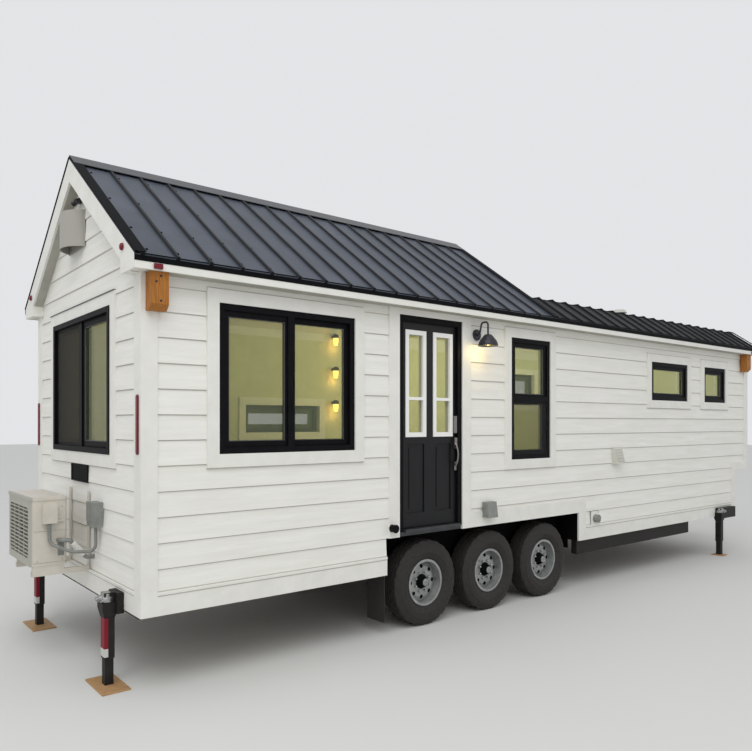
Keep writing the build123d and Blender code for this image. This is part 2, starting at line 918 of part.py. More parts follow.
# Leaf springs on the axles, between hangers under the rails
with BuildPart() as leaf_springs:
    for axle_x in axle_places:
        for side in (-1, 1):
            spring_y = mid_y + side * rail_spacing / 2
            with BuildSketch(Plane.XZ.offset(-spring_y - leaf_width / 2)):
                with BuildLine():
                    lower = ThreePointArc(
                        (axle_x - leaf_half_length, spring_z + leaf_rise),
                        (axle_x, spring_z),
                        (axle_x + leaf_half_length, spring_z + leaf_rise),
                    )
                    upper = ThreePointArc(
                        (axle_x - leaf_half_length, spring_z + leaf_rise + leaf_thickness),
                        (axle_x, spring_z + leaf_thickness),
                        (axle_x + leaf_half_length, spring_z + leaf_rise + leaf_thickness),
                    )
                    Line(lower @ 0, upper @ 0)
                    Line(lower @ 1, upper @ 1)
                make_face()
            extrude(amount=-leaf_width)
save(leaf_springs, "leaf_springs")

# Wheels: a tyre and a steel rim for each
bead_half = rim_width / 2 - rim_wall
for row, axle_x in zip(("rear", "middle", "front"), axle_places):
    for side, side_name in ((-1, "door"), (1, "back")):
        centre_y = mid_y + side * wheel_centre
        spin = Axis((axle_x, centre_y, axle_z), (0, 1, 0))

        def at(offset, radius):
            """A point of the wheel's section: outward offset, then radius."""
            return (centre_y + side * offset, axle_z + radius)

        bead = rim_radius + bead_clearance
        lip = rim_radius + rim_flange + bead_clearance
        with BuildPart() as tyre:
            with BuildSketch(Plane.YZ.offset(axle_x)):
                with BuildLine():
                    Polyline(
                        at(bead_half, lip),
                        at(bead_half, bead),
                        at(-bead_half, bead),
                        at(-bead_half, lip),
                    )
                    ThreePointArc(
                        at(bead_half, lip),
                        at(tyre_width / 2, (lip + tread_radius) / 2),
                        at(tread_width / 2, tread_radius),
                    )
                    ThreePointArc(
                        at(-bead_half, lip),
                        at(-tyre_width / 2, (lip + tread_radius) / 2),
                        at(-tread_width / 2, tread_radius),
                    )
                    Polyline(
                        at(tread_width / 2, tread_radius),
                        at(tread_flat / 2, tyre_radius),
                        at(-tread_flat / 2, tyre_radius),
                        at(-tread_width / 2, tread_radius),
                    )
                make_face()
            revolve(axis=spin)
        save(tyre, f"tyre_{row}_{side_name}")

        with BuildPart() as rim:
            with BuildSketch(Plane.YZ.offset(axle_x)):
                half = rim_width / 2
                Polygon(
                    at(half, rim_radius + rim_flange),
                    at(bead_half, rim_radius + rim_flange),
                    at(bead_half, rim_radius),
                    at(-bead_half, rim_radius),
                    at(-bead_half, rim_radius + rim_flange),
                    at(-half, rim_radius + rim_flange),
                    at(-half, rim_radius - rim_wall),
                    at(half, rim_radius - rim_wall),
                    align=None,
                )
                Polygon(
                    at(dish_offset - dish_slope, rim_radius - rim_wall / 2),
                    at(dish_offset, vent_circle_radius),
                    at(dish_offset, 0),
                    at(dish_offset - dish_thickness, 0),
                    at(dish_offset - dish_thickness, vent_circle_radius),
                    at(dish_offset - dish_slope - dish_thickness, rim_radius - rim_wall / 2),
                    align=None,
                )
                Polygon(
                    at(hub_face, 0),
                    at(hub_face, hub_radius * hub_nose_share),
                    at(dish_offset, hub_radius),
                    at(-hub_back, hub_radius),
                    at(-hub_back, spindle_radius + spindle_clearance),
                    at(spindle_reach - hub_back + spindle_end_gap, spindle_radius + spindle_clearance),
                    at(spindle_reach - hub_back + spindle_end_gap, 0),
                    align=None,
                )
            revolve(axis=spin)
            with BuildSketch(Plane.XZ.offset(side * (hub_back + cut_overrun) - centre_y)):
                with Locations((axle_x, axle_z)):
                    Circle(spindle_radius + spindle_clearance)
            extrude(amount=-side * (cut_overrun + spindle_reach + spindle_end_gap), mode=Mode.SUBTRACT)
            with BuildSketch(Plane.XZ.offset(-centre_y - side * dish_offset)):
                with Locations((axle_x, axle_z)):
                    with PolarLocations(vent_circle_radius, vent_hole_count):
                        Circle(vent_hole_radius)
            extrude(amount=dish_slope + dish_thickness, both=True, mode=Mode.SUBTRACT)
        save(rim, f"rim_{row}_{side_name}")

# Mud flaps behind the rear wheels
with BuildPart() as mud_flaps:
    for side in (-1, 1):
        outer = mid_y + side * (house_width / 2 - wheel_setback)
        flap_y = sorted((outer, outer - side * tyre_width))
        block((well_x[0], well_x[0] + flap_thickness), flap_y, (flap_bottom, well_top - cut_overrun))
save(mud_flaps, "mud_flaps")

# Stabiliser jacks: outer tubes with their brackets, then one leg for each
rear_jack_reach = house_width / 2 - rear_jack_inset
front_jack_reach = house_width / 2 + front_jack_setback
rear_jacks = [(rear_x - jack_setback, mid_y + side * rear_jack_reach) for side in (-1, 1)]
front_jacks = [(rear_x + front_jack_x, mid_y + side * front_jack_reach) for side in (-1, 1)]
with BuildPart() as jack_tubes:
    for jack_x, jack_y in rear_jacks + front_jacks:
        tube_x = (jack_x - jack_tube / 2, jack_x + jack_tube / 2)
        tube_y = (jack_y - jack_tube / 2, jack_y + jack_tube / 2)
        block(tube_x, tube_y, (jack_bottom, jack_top))
    for jack_x, jack_y in rear_jacks:
        block(
            (jack_x + jack_tube / 2, rear_x - trim_thickness),
            (jack_y - jack_bracket_width / 2, jack_y + jack_bracket_width / 2),
            (jack_top - jack_bracket_height, jack_top),
        )
    for side, (jack_x, jack_y) in zip((-1, 1), front_jacks):
        face = mid_y + side * (house_width / 2 + trim_thickness)
        block(
            (jack_x - jack_tube / 2, jack_x - jack_tube / 2 + front_bracket_length),
            sorted((face, jack_y + side * jack_tube / 2)),
            (jack_top - jack_bracket_height, jack_top),
        )
    for jack_x, jack_y in rear_jacks + front_jacks:
        block(
            (jack_x - jack_tube / 2 + jack_wall, jack_x + jack_tube / 2 - jack_wall),
            (jack_y - jack_tube / 2 + jack_wall, jack_y + jack_tube / 2 - jack_wall),
            (jack_bottom - cut_overrun, jack_top - jack_wall),
            mode=Mode.SUBTRACT,
        )
save(jack_tubes, "jack_tubes")

jack_names = ("rear_door", "rear_back", "front_door", "front_back")
jack_leg = jack_tube - 2 * jack_wall - 2 * jack_clearance
for jack_name, (jack_x, jack_y) in zip(jack_names, rear_jacks + front_jacks):
    with BuildPart() as jack_leg_piece:
        block(
            (jack_x - jack_leg / 2, jack_x + jack_leg / 2),
            (jack_y - jack_leg / 2, jack_y + jack_leg / 2),
            (jack_foot_thickness, jack_leg_top),
        )
        block(
            (jack_x - jack_foot / 2, jack_x + jack_foot / 2),
            (jack_y - jack_foot / 2, jack_y + jack_foot / 2),
            (0, jack_foot_thickness),
        )
    save(jack_leg_piece, f"jack_leg_{jack_name}")

# Entry door: leaf with two tall lights and two sunk panels below them
light_head = leaf_z[1] - light_head_rail
light_z = (light_head - light_height, light_head)
light_mid = (leaf_x[0] + leaf_x[1]) / 2
light_spans = [
    (light_mid - light_gap / 2 - light_width, light_mid - light_gap / 2),
    (light_mid + light_gap / 2, light_mid + light_gap / 2 + light_width),
]
panel_z = (leaf_z[0] + panel_rail, light_z[0] - panel_rail / 2)
with BuildPart() as door_leaf:
    block(leaf_x, leaf_y, leaf_z)
    for light_x in light_spans:
        block(light_x, inset(leaf_y, -cut_overrun), light_z, mode=Mode.SUBTRACT)
        panel_x = inset(light_x, panel_inset)
        block(panel_x, (leaf_y[0] - cut_overrun, leaf_y[0] + panel_depth), panel_z, mode=Mode.SUBTRACT)
        block(panel_x, (leaf_y[1] - panel_depth, leaf_y[1] + cut_overrun), panel_z, mode=Mode.SUBTRACT)
        raised = inset(panel_x, panel_bevel)
        raised_z = inset(panel_z, panel_bevel)
        block(raised, inset(leaf_y, panel_depth / 2), raised_z)
    for height in hinge_heights:
        low = height - knuckle / 2 + hinge_clearance
        high = height + knuckle / 2 - hinge_clearance
        hinge_barrel(low, high)
        block((hinge_x, leaf_x[0] + hinge_plate), (leaf_y[1], leaf_y[1] + hinge_plate_thickness), (low, high))
save(door_leaf, "door_leaf")

bar_middle = light_z[0] + light_bar_share * (light_z[1] - light_z[0])
bar_z = (bar_middle - light_bar_width / 2, bar_middle + light_bar_width / 2)
with BuildPart() as door_light_frames:
    for light_x in light_spans:
        ring(light_x, inset(leaf_y, -light_proud), light_z, light_frame_face, "y")
        block(inset(light_x, light_frame_face), inset(leaf_y, -light_proud), bar_z)
save(door_light_frames, "door_light_frames")

with BuildPart() as door_panes:
    for light_x in light_spans:
        pane_x = inset(light_x, light_frame_face)
        pane_y = middle(leaf_y, door_pane_thickness)
        block(pane_x, pane_y, (light_z[0] + light_frame_face, bar_z[0]))
        block(pane_x, pane_y, (bar_z[1], light_z[1] - light_frame_face))
save(door_panes, "door_panes")

# Grip handle and keypad lock outside, lever handle inside
handle_x = leaf_x[1] - handle_backset
with BuildPart() as door_handles:
    for width, thickness, centre_z, height in (
        (handle_width, keypad_thickness, keypad_z, keypad_height),
        (handle_width, latch_thickness, latch_z, latch_height),
        (grip_foot_width, grip_foot_thickness, grip_foot_z, grip_foot_height),
    ):
        block(
            middle((handle_x, handle_x), width),
            (leaf_y[0] - thickness, leaf_y[0]),
            (centre_z - height / 2, centre_z + height / 2),
        )
    grip_y = leaf_y[0] - grip_foot_thickness
    with BuildLine() as grip_path:
        grip_arc = ThreePointArc(
            (handle_x, grip_y, grip_foot_z),
            (handle_x, leaf_y[0] - grip_reach + grip_radius, (grip_foot_z + latch_z) / 2),
            (handle_x, grip_y, latch_z),
        )
    with BuildSketch(Plane(origin=grip_arc @ 0, z_dir=grip_arc % 0)):
        Circle(grip_radius)
    sweep(path=grip_path.line)
    with BuildSketch(Plane.XZ.offset(-leaf_y[1])):
        with Locations((handle_x, latch_z), (handle_x, keypad_z)):
            Circle(lever_rose_radius)
    extrude(amount=-lever_rose_thickness)
    with BuildSketch(Plane.XZ.offset(-leaf_y[1])):
        with Locations((handle_x, latch_z)):
            Circle(lever_radius)
    extrude(amount=-lever_standoff)
    lever_y = (leaf_y[1] + lever_standoff - lever_thickness, leaf_y[1] + lever_standoff)
    block((handle_x - lever_length, handle_x), lever_y, (latch_z - lever_radius, latch_z + lever_radius))
save(door_handles, "door_handles")

# Corner boards, skirt boards and the brackets under the eaves
with BuildPart() as corner_boards:
    for side in (-1, 1):
        face = mid_y + side * house_width / 2
        outer = face + side * trim_thickness
        inward = face - side * corner_width
        block((rear_x - trim_thickness, rear_x + corner_width), sorted((face, outer)), wall_z)
        block((rear_x - trim_thickness, rear_x), sorted((outer, inward)), wall_z)
        upper_z = (bump_out_z, plate_z)
        block((front_x - corner_width, front_x + trim_thickness), sorted((face, outer)), upper_z)
        block((front_x, front_x + trim_thickness), sorted((outer, inward)), upper_z)
save(corner_boards, "corner_boards")

skirt_board_z = (skirt_z, skirt_z + skirt_board_height)
well_trim_x = (well_x[1], well_x[1] + well_trim_width)
skirt_runs = (
    (rear_x + corner_width, well_x[0]),
    (well_trim_x[1], lower_front_x),
)
over_well_starts = {-1: door_side_x[1], 1: well_x[0]}
with BuildPart() as skirt_boards:
    for side in (-1, 1):
        face = mid_y + side * house_width / 2
        board_y = sorted((face, face + side * trim_thickness))
        for run in skirt_runs:
            block(run, board_y, skirt_board_z)
        block((over_well_starts[side], well_trim_x[1]), board_y, (well_top, well_top + well_trim_height))
        block(well_trim_x, board_y, (skirt_z, well_top))
    block(
        (rear_x - trim_thickness, rear_x),
        (door_y + corner_width, back_y - corner_width),
        skirt_board_z,
    )
save(skirt_boards, "skirt_boards")

with BuildPart() as eave_brackets:
    for start in (rear_x + corner_width * bracket_place_share, front_x - corner_width - bracket_width):
        for side in (-1, 1):
            face = mid_y + side * (house_width / 2 + trim_thickness)
            with BuildSketch(Plane.YZ.offset(start)):
                Polygon(
                    (face, plate_z),
                    (face + side * bracket_reach, plate_z),
                    (face + side * bracket_reach, plate_z - bracket_height + bracket_toe),
                    (face + side * (bracket_reach - bracket_toe), plate_z - bracket_height),
                    (face, plate_z - bracket_height),
                    align=None,
                )
            extrude(amount=bracket_width)
save(eave_brackets, "eave_brackets")

# Outdoor heat-pump unit: a case with a slatted grille, a lid, feet and a valve cover
unit_x = (rear_x - near_reach, rear_x - condenser_gap)
unit_y = (door_y + condenser_y, door_y + condenser_y + condenser_width)
unit_z = (condenser_z, condenser_z + condenser_height)
case_x = (unit_x[0] + unit_lid_lip, unit_x[1])
case_y = inset(unit_y, unit_lid_lip)
lid_z = unit_z[1] - unit_lid
grille_y = inset(case_y, grille_margin)
grille_z = inset((unit_z[0], lid_z), grille_margin)
arm_centres = (unit_y[0] + unit_arm_inset, unit_y[0] + unit_arm_inset + unit_arm_spacing)
cover_x_span = middle((unit_x[0] + valve_cover_x, unit_x[0] + valve_cover_x), valve_cover_width)
cover_y_span = (case_y[0] - valve_cover_reach, case_y[0])
cover_top = unit_z[1] - valve_cover_drop
with BuildPart() as condenser:
    block(case_x, case_y, (unit_z[0], lid_z))
    fillet(condenser.edges().filter_by(Axis.Z), radius=unit_corner)
    with BuildSketch(Plane.YZ.offset(case_x[0])):
        with Locations(((grille_y[0] + grille_y[1]) / 2, (grille_z[0] + grille_z[1]) / 2)):
            RectangleRounded(grille_y[1] - grille_y[0], grille_z[1] - grille_z[0], grille_corner)
    extrude(amount=grille_depth, mode=Mode.SUBTRACT)
    slat_count = floor((grille_z[1] - grille_z[0]) / slat_pitch)
    first_slat = (grille_z[0] + grille_z[1] - (slat_count - 1) * slat_pitch) / 2
    for number in range(slat_count):
        height = first_slat + number * slat_pitch
        block((case_x[0], case_x[0] + slat_depth), grille_y, middle((height, height), slat_height))
    post_pitch = (grille_y[1] - grille_y[0]) / (post_count + 1)
    for number in range(1, post_count + 1):
        centre = grille_y[0] + number * post_pitch
        block((case_x[0], case_x[0] + grille_depth), middle((centre, centre), post_width), grille_z)
    with BuildSketch(Plane.XY.offset(lid_z)):
        with Locations(((unit_x[0] + unit_x[1]) / 2, (unit_y[0] + unit_y[1]) / 2)):
            RectangleRounded(condenser_depth, condenser_width, unit_corner)
    extrude(amount=unit_lid)
    block(cover_x_span, cover_y_span, (cover_top - valve_cover_height, cover_top))
    for centre in arm_centres:
        foot_z = (unit_z[0] - unit_foot_height, unit_z[0])
        block(inset(case_x, unit_corner), middle((centre, centre), bracket_arm), foot_z)
save(condenser, "condenser")

# Two wall brackets that carry the unit
arm_top = condenser_z - unit_foot_height
with BuildPart() as condenser_bracket:
    for centre in arm_centres:
        arm_y = middle((centre, centre), bracket_arm)
        block((unit_x[0] + unit_corner, rear_x - trim_thickness), arm_y, (arm_top - bracket_arm, arm_top))
        block(
            (rear_x - trim_thickness - bracket_plate, rear_x - trim_thickness),
            arm_y,
            (arm_top - bracket_arm, arm_top - bracket_arm + bracket_upright),
        )
save(condenser_bracket, "condenser_bracket")

# Gooseneck lamp beside the door
lamp_z = plate_z - lamp_drop
shade_z = lamp_z - shade_drop
lamp_place = (rear_x + lamp_x, lamp_z)
shade_y = door_y - lamp_reach + shade_radius
with BuildPart() as wall_lamp:
    with BuildSketch(Plane.XZ.offset(-door_y)):
        with Locations(lamp_place):
            Circle(lamp_plate_radius)
    extrude(amount=lamp_plate_thickness)
    with BuildSketch(Plane.YZ.offset(lamp_place[0])):
        with BuildLine():
            Polyline(
                (shade_y, shade_z + shade_height),
                (shade_y - shade_neck, shade_z + shade_height),
                (shade_y - shade_neck, shade_z + shade_height / 2),
                (shade_y - shade_radius, shade_z),
                (shade_y - shade_radius + shade_wall, shade_z),
                (shade_y - shade_neck + shade_wall, shade_z + shade_height / 2 - shade_wall),
                (shade_y, shade_z + shade_height / 2 - shade_wall),
                close=True,
            )
        make_face()
    revolve(axis=Axis((lamp_place[0], shade_y, 0), (0, 0, 1)))
    with BuildLine() as neck_path:
        neck_points = (
            (lamp_place[0], door_y, lamp_z),
            (lamp_place[0], door_y - lamp_neck_run, lamp_z),
            (lamp_place[0], (door_y + shade_y) / 2, lamp_z + lamp_neck_rise),
            (lamp_place[0], shade_y, lamp_z + lamp_neck_rise),
            (lamp_place[0], shade_y, shade_z + shade_height / 2),
        )
        FilletPolyline(*neck_points, radius=lamp_neck_bend)
    with BuildSketch(Plane(origin=neck_points[0], z_dir=(0, -1, 0))):
        Circle(lamp_neck_radius)
    sweep(path=neck_path.line)
save(wall_lamp, "wall_lamp")

# Vents: a half-round hood on the gable, a sloped cover on the entry side and a capped pipe on the low roof
hood_z = ridge_z - hood_drop - hood_height
hood_span = middle((mid_y + hood_offset, mid_y + hood_offset), hood_width)
inner_hood = inset(hood_span, hood_wall)
vent_z = crown_z - abs(door_y + roof_vent_y - mid_y) * low_roof_crown / crown_run
vent_normal = (0, -sin(crown_angle), cos(crown_angle))
vent_x = rear_x + first_rib + roof_vent_bay_share * rib_spacing
vent_plane = Plane(origin=(vent_x, door_y + roof_vent_y, vent_z), z_dir=vent_normal)
with BuildPart() as vents:
    for outline, reach, top in (
        (hood_span, hood_reach, hood_height),
        (inner_hood, hood_reach - hood_wall, hood_height - hood_wall),
    ):
        with BuildSketch(Plane.XY.offset(hood_z)):
            with BuildLine():
                ThreePointArc(
                    (rear_x, outline[0]),
                    (rear_x - reach, (outline[0] + outline[1]) / 2),
                    (rear_x, outline[1]),
                )
                Line((rear_x, outline[1]), (rear_x, outline[0]))
            make_face()
        extrude(amount=top, mode=Mode.ADD if reach == hood_reach else Mode.SUBTRACT)
    with BuildSketch(Plane.YZ.offset(rear_x + cover_x - cover_width / 2)):
        Polygon(
            (door_y, cover_z),
            (door_y - cover_reach, cover_z),
            (door_y - cover_top_reach, cover_z + cover_height),
            (door_y, cover_z + cover_height),
            align=None,
        )
    extrude(amount=cover_width)
    with BuildSketch(vent_plane.offset(metal_thickness)):
        Circle((rib_spacing - rib_width) / 2 - roof_vent_clearance)
    extrude(amount=metal_thickness)
    with BuildSketch(vent_plane.offset(metal_thickness)):
        Circle(roof_vent_radius)
    extrude(amount=roof_vent_height)
    with BuildSketch(vent_plane.offset(metal_thickness + roof_vent_height)):
        Circle(roof_vent_cap_radius)
    with BuildSketch(vent_plane.offset(metal_thickness + roof_vent_height + roof_vent_cap_height)):
        Circle(roof_vent_cap_radius * roof_vent_cap_top_share)
    loft()
save(vents, "vents")

# Service fittings: a switch box on the gable, an outlet cover, a power inlet and a drain on the entry side
outlet_span = middle((rear_x + outlet_x, rear_x + outlet_x), outlet_width)
inlet_span = middle((rear_x + inlet_x, rear_x + inlet_x), inlet_plate)
switch_span = middle((door_y + switch_y, door_y + switch_y), switch_width)
with BuildPart() as service_boxes:
    block((rear_x - switch_depth, rear_x), switch_span, (switch_z, switch_z + switch_height))
    with BuildSketch(Plane.YZ.offset(outlet_span[0])):
        Polygon(
            (door_y - trim_thickness, outlet_z),
            (door_y - trim_thickness - outlet_reach, outlet_z),
            (door_y - trim_thickness - outlet_top_reach, outlet_z + outlet_height),
            (door_y - trim_thickness, outlet_z + outlet_height),
            align=None,
        )
    extrude(amount=outlet_width)
    block(
        inlet_span,
        (door_y - inlet_plate_thickness, door_y),
        (inlet_z - inlet_plate / 2, inlet_z + inlet_plate / 2),
    )
    with BuildSketch(Plane.XZ.offset(inlet_plate_thickness - door_y)):
        with Locations((rear_x + inlet_x, inlet_z)):
            Circle(inlet_radius)
    extrude(amount=inlet_reach - inlet_plate_thickness)
    with BuildSketch(Plane.XZ.offset(casing_thickness - door_y)):
        with Locations((rear_x + drain_x, drain_z)):
            Circle(drain_radius)
    extrude(amount=drain_reach)
save(service_boxes, "service_boxes")

# Conduit from the switch box to the unit's valve cover, and the insulated line into the wall
cover_centre = ((cover_x_span[0] + cover_x_span[1]) / 2, (cover_y_span[0] + cover_y_span[1]) / 2)
cover_bottom = cover_top - valve_cover_height
conduit_x = rear_x - switch_depth / 2
conduit_points = (
    (conduit_x, door_y + switch_y, switch_z),
    (conduit_x, door_y + switch_y, switch_z - conduit_fall),
    (rear_x - condenser_gap, door_y + switch_y + conduit_swing, switch_z - conduit_fall),
    (*cover_centre, (switch_z + cover_bottom) / 2 - conduit_rise),
    (*cover_centre, cover_bottom),
)
line_points = (
    (rear_x, case_y[0] - line_wall_inset, line_wall_z),
    (rear_x - line_stub, case_y[0] - line_wall_inset, line_wall_z),
    (rear_x - condenser_gap, case_y[0] - line_wall_inset, line_unit_z),
    (unit_x[1] - line_stub, case_y[0] - line_unit_inset, line_unit_z),
    (unit_x[1] - line_stub, case_y[0], line_unit_z),
)
with BuildPart() as line_set:
    for points, radius, bend in (
        (conduit_points, conduit_radius, conduit_bend),
        (line_points, line_radius, line_bend),
    ):
        with BuildLine() as run:
            FilletPolyline(*points, radius=bend)
        with BuildSketch(Plane(origin=points[0], z_dir=run.line % 0)):
            Circle(radius)
        sweep(path=run.line)
save(line_set, "line_set")
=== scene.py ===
# %% [markdown]
# # A tiny house on a three-axle trailer
#
# The house is a timber box with lap siding and a black metal roof, carried by a road trailer. The packed
# model gives every piece its place and size, and this lesson dresses it. All lengths here are metres
# unless a name says otherwise.

# %% Load the frame and measure the walls
from math import atan, cos, pi, radians, sin, tau

import bmesh
import bpy
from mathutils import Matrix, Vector


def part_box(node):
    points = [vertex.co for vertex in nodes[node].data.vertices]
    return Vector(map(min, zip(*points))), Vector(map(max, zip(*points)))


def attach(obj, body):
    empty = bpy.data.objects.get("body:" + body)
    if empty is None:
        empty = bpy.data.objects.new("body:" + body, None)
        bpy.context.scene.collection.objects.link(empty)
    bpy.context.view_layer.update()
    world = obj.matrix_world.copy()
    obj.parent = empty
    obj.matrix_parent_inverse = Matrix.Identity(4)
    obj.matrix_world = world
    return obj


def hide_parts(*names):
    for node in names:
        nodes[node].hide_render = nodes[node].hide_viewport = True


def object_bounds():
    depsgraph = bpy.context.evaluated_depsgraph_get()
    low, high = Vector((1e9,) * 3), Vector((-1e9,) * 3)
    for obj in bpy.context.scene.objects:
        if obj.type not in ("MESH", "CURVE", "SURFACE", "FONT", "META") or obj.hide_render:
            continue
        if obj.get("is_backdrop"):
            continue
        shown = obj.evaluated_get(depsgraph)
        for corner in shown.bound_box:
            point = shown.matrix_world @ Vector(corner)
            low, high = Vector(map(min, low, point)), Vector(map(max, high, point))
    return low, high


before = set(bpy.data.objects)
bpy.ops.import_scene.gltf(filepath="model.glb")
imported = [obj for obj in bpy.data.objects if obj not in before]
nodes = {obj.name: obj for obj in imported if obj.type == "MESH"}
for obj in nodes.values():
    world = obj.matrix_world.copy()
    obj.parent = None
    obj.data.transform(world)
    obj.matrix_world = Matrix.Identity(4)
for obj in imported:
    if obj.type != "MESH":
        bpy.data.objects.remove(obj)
cad_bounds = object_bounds()
mm = 0.001

rear_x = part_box("gable_wall")[0].x
front_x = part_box("front_wall")[1].x
lower_front_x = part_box("lower_front_wall")[1].x
door_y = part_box("gable_wall")[0].y
back_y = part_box("gable_wall")[1].y
mid_y = (door_y + back_y) / 2
wall_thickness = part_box("gable_wall")[1].x - rear_x
plate_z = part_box("door_header")[1].z
floor_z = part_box("floor_deck")[1].z
bump_out_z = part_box("front_wall")[0].z
roof_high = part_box("steep_roof_door_side")[1]
ridge_z = roof_high.z
step_x = roof_high.x

# Each long side has a name and a sign, and the sign leads to its wall's face.
sides = {"door": -1, "back": 1}
long_faces = {-1: door_y, 1: back_y}
print("walls from", round(rear_x, 3), "to", round(front_x, 3), "ridge at", round(ridge_z, 3))

# %% [markdown]
# ## Camera
# The photograph was taken standing, with a level camera, so the upright edges of the walls stay upright.
# Its focal length and optical axis were worked out from the vanishing points of the two walls. A level
# camera that looks past the middle of its picture is what Blender calls shift.

# %% Place the camera by the near corner of the walls
image_width, image_height = 752, 751
focal_pixels = 682
axis_pixel = (315, 423.3)
sensor_mm = 36
camera_from_corner = Vector((-1.855, -4.521, 1.91))
camera_turn = radians(-36.52)

camera = bpy.data.objects.new("camera", bpy.data.cameras.new("camera"))
camera.location = camera_from_corner + Vector((rear_x, door_y, 0))
camera.rotation_euler = (pi / 2, 0, camera_turn)
camera.data.sensor_width = sensor_mm
camera.data.lens = sensor_mm * focal_pixels / image_width
camera.data.shift_x = (image_width / 2 - axis_pixel[0]) / image_width
camera.data.shift_y = (axis_pixel[1] - image_height / 2) / image_width
bpy.context.scene.collection.objects.link(camera)
bpy.context.scene.camera = camera
print("camera at", [round(value, 3) for value in camera.location], "lens", round(camera.data.lens, 2))

# %% [markdown]
# ## Colours and nodes
# A colour picked from a screen is sRGB, and shaders reckon in linear light, so one function converts a
# hex value. One more function adds a node with its settings and links, which keeps each material short.


# %% Colour and node helpers
def linear(code):
    """Linear RGBA of an sRGB hex colour."""
    channels = [int(code[place:place + 2], 16) / 255 for place in (1, 3, 5)]
    return [c / 12.92 if c <= 0.04045 else ((c + 0.055) / 1.055) ** 2.4 for c in channels] + [1.0]


def add_node(tree, kind, inputs=(), **settings):
    """Add a node with its settings. An input is a value, or a socket to link from."""
    node = tree.nodes.new(kind)
    for name, value in settings.items():
        setattr(node, name, value)
    for name, value in dict(inputs).items():
        if isinstance(value, bpy.types.NodeSocket):
            tree.links.new(value, node.inputs[name])
        else:
            node.inputs[name].default_value = value
    return node


def surface(name, colour, roughness, **sockets):
    """A material with one principled shader, and constants on its own sockets."""
    material = bpy.data.materials.new(name)
    material.use_nodes = True
    shader = material.node_tree.nodes["Principled BSDF"]
    shader.inputs["Base Color"].default_value = linear(colour)
    shader.inputs["Roughness"].default_value = roughness
    for socket, value in sockets.items():
        shader.inputs[socket.replace("_", " ")].default_value = value
    return material


noise_roughness = 0.6
ramp_ends = (0.3, 0.7)


def grain(material, colours, size_mm, stretch=(1, 1, 1), relief_mm=0.0, rough=None, detail=4):
    """Let one noise of a real grain size drive the colour, the roughness and the relief."""
    tree = material.node_tree
    shader = tree.nodes["Principled BSDF"]
    place = add_node(tree, "ShaderNodeTexCoord").outputs["Object"]
    mapped = add_node(tree, "ShaderNodeMapping", {"Vector": place, "Scale": stretch}).outputs["Vector"]
    texture = {"Vector": mapped, "Scale": 1 / (size_mm * mm), "Detail": detail, "Roughness": noise_roughness}
    noise = add_node(tree, "ShaderNodeTexNoise", texture).outputs["Fac"]
    ramp = add_node(tree, "ShaderNodeValToRGB", {"Fac": noise})
    for element, position, colour in zip(ramp.color_ramp.elements, ramp_ends, colours):
        element.position = position
        element.color = linear(colour)
    tree.links.new(ramp.outputs["Color"], shader.inputs["Base Color"])
    if rough:
        limits = {"Value": noise, "To Min": rough[0], "To Max": rough[1]}
        spread = add_node(tree, "ShaderNodeMapRange", limits)
        tree.links.new(spread.outputs["Result"], shader.inputs["Roughness"])
    if relief_mm:
        relief = {"Height": noise, "Distance": relief_mm * mm, "Strength": 1.0}
        bump = add_node(tree, "ShaderNodeBump", relief)
        tree.links.new(bump.outputs["Normal"], shader.inputs["Normal"])
    return material


# %% [markdown]
# ## Outside finishes
# The walls are fibre cement planks, pressed with a faint wood grain and painted white on site, so they
# are matt with long soft streaks. The boards round the openings are smooth cellular trim with the same
# paint. The roof and its folded trim are painted steel: smooth and satin. The roof's lighter, bluish colour
# is a painted reflection of an open sky. A photograph of each finish could be wrapped on, but a noise with a
# real grain size needs no picture and has no seams.

# %% Make the finishes of the walls and the roof
# Pressed planks under site paint are matt, with long soft streaks.
siding_paint = grain(
    surface("painted_fibre_cement_plank", "#ebeae3", 0.62),
    ("#e5e4dc", "#efeee8"), 60, stretch=(0.12, 0.12, 1.6), relief_mm=0.7, rough=(0.55, 0.7),
)
# A thin grey line of painted shade, standing in for the shadow under each lap.
lap_painted_shade = surface("painted_shade_under_the_laps", "#bebcb3", 0.9)
# Cellular board takes the same paint more smoothly, so it has a little more gloss.
trim_paint = grain(
    surface("painted_trim_board", "#e6e5de", 0.5),
    ("#e1e0d8", "#eae9e3"), 180, relief_mm=0.25, rough=(0.42, 0.56),
)
# Painted shade: soffit boards are white trim, painted flat grey for the shade they stay in.
soffit_painted_shade = grain(
    surface("soffit_board_painted_shade", "#a8a69c", 0.7),
    ("#a19f95", "#b0aea4"), 140, rough=(0.64, 0.76), relief_mm=0.2,
)
# Coated steel is satin, and its slow waves let the sky's light wander. Its colour is the black paint made
# lighter and bluer: a painted reflection of the open sky.
roof_steel_painted_sky = grain(
    surface("roof_steel_painted_sky_reflection", "#4a4f59", 0.42, Specular_IOR_Level=0.15),
    ("#434851", "#545964"), 420, stretch=(1, 1, 0.6), relief_mm=0.5, rough=(0.36, 0.5), detail=2,
)
# The same steel, painted darker on the low roof: a painted reflection, since at its low slope it mirrors
# darker surroundings than the steep roof does.
low_roof_steel_painted_reflection = grain(
    surface("low_roof_steel_painted_reflection", "#2b2c2e", 0.5, Specular_IOR_Level=0.1),
    ("#232426", "#37383a"), 420, stretch=(1, 1, 0.6), relief_mm=0.5, rough=(0.44, 0.58), detail=2,
)
# The folded trim is matt, and the darkest line of the house.
trim_steel = grain(
    surface("folded_trim_steel", "#0d0e10", 0.6, Specular_IOR_Level=0.06),
    ("#0a0b0d", "#121316"), 150, rough=(0.54, 0.68), relief_mm=0.2,
)
print("wall and roof finishes:", len(bpy.data.materials))

# %% [markdown]
# The openings, the trailer and the fittings come next. Each finish starts from what the real piece is
# made of, and its grain is stretched the way the piece was rolled, drawn, sawn or brushed.

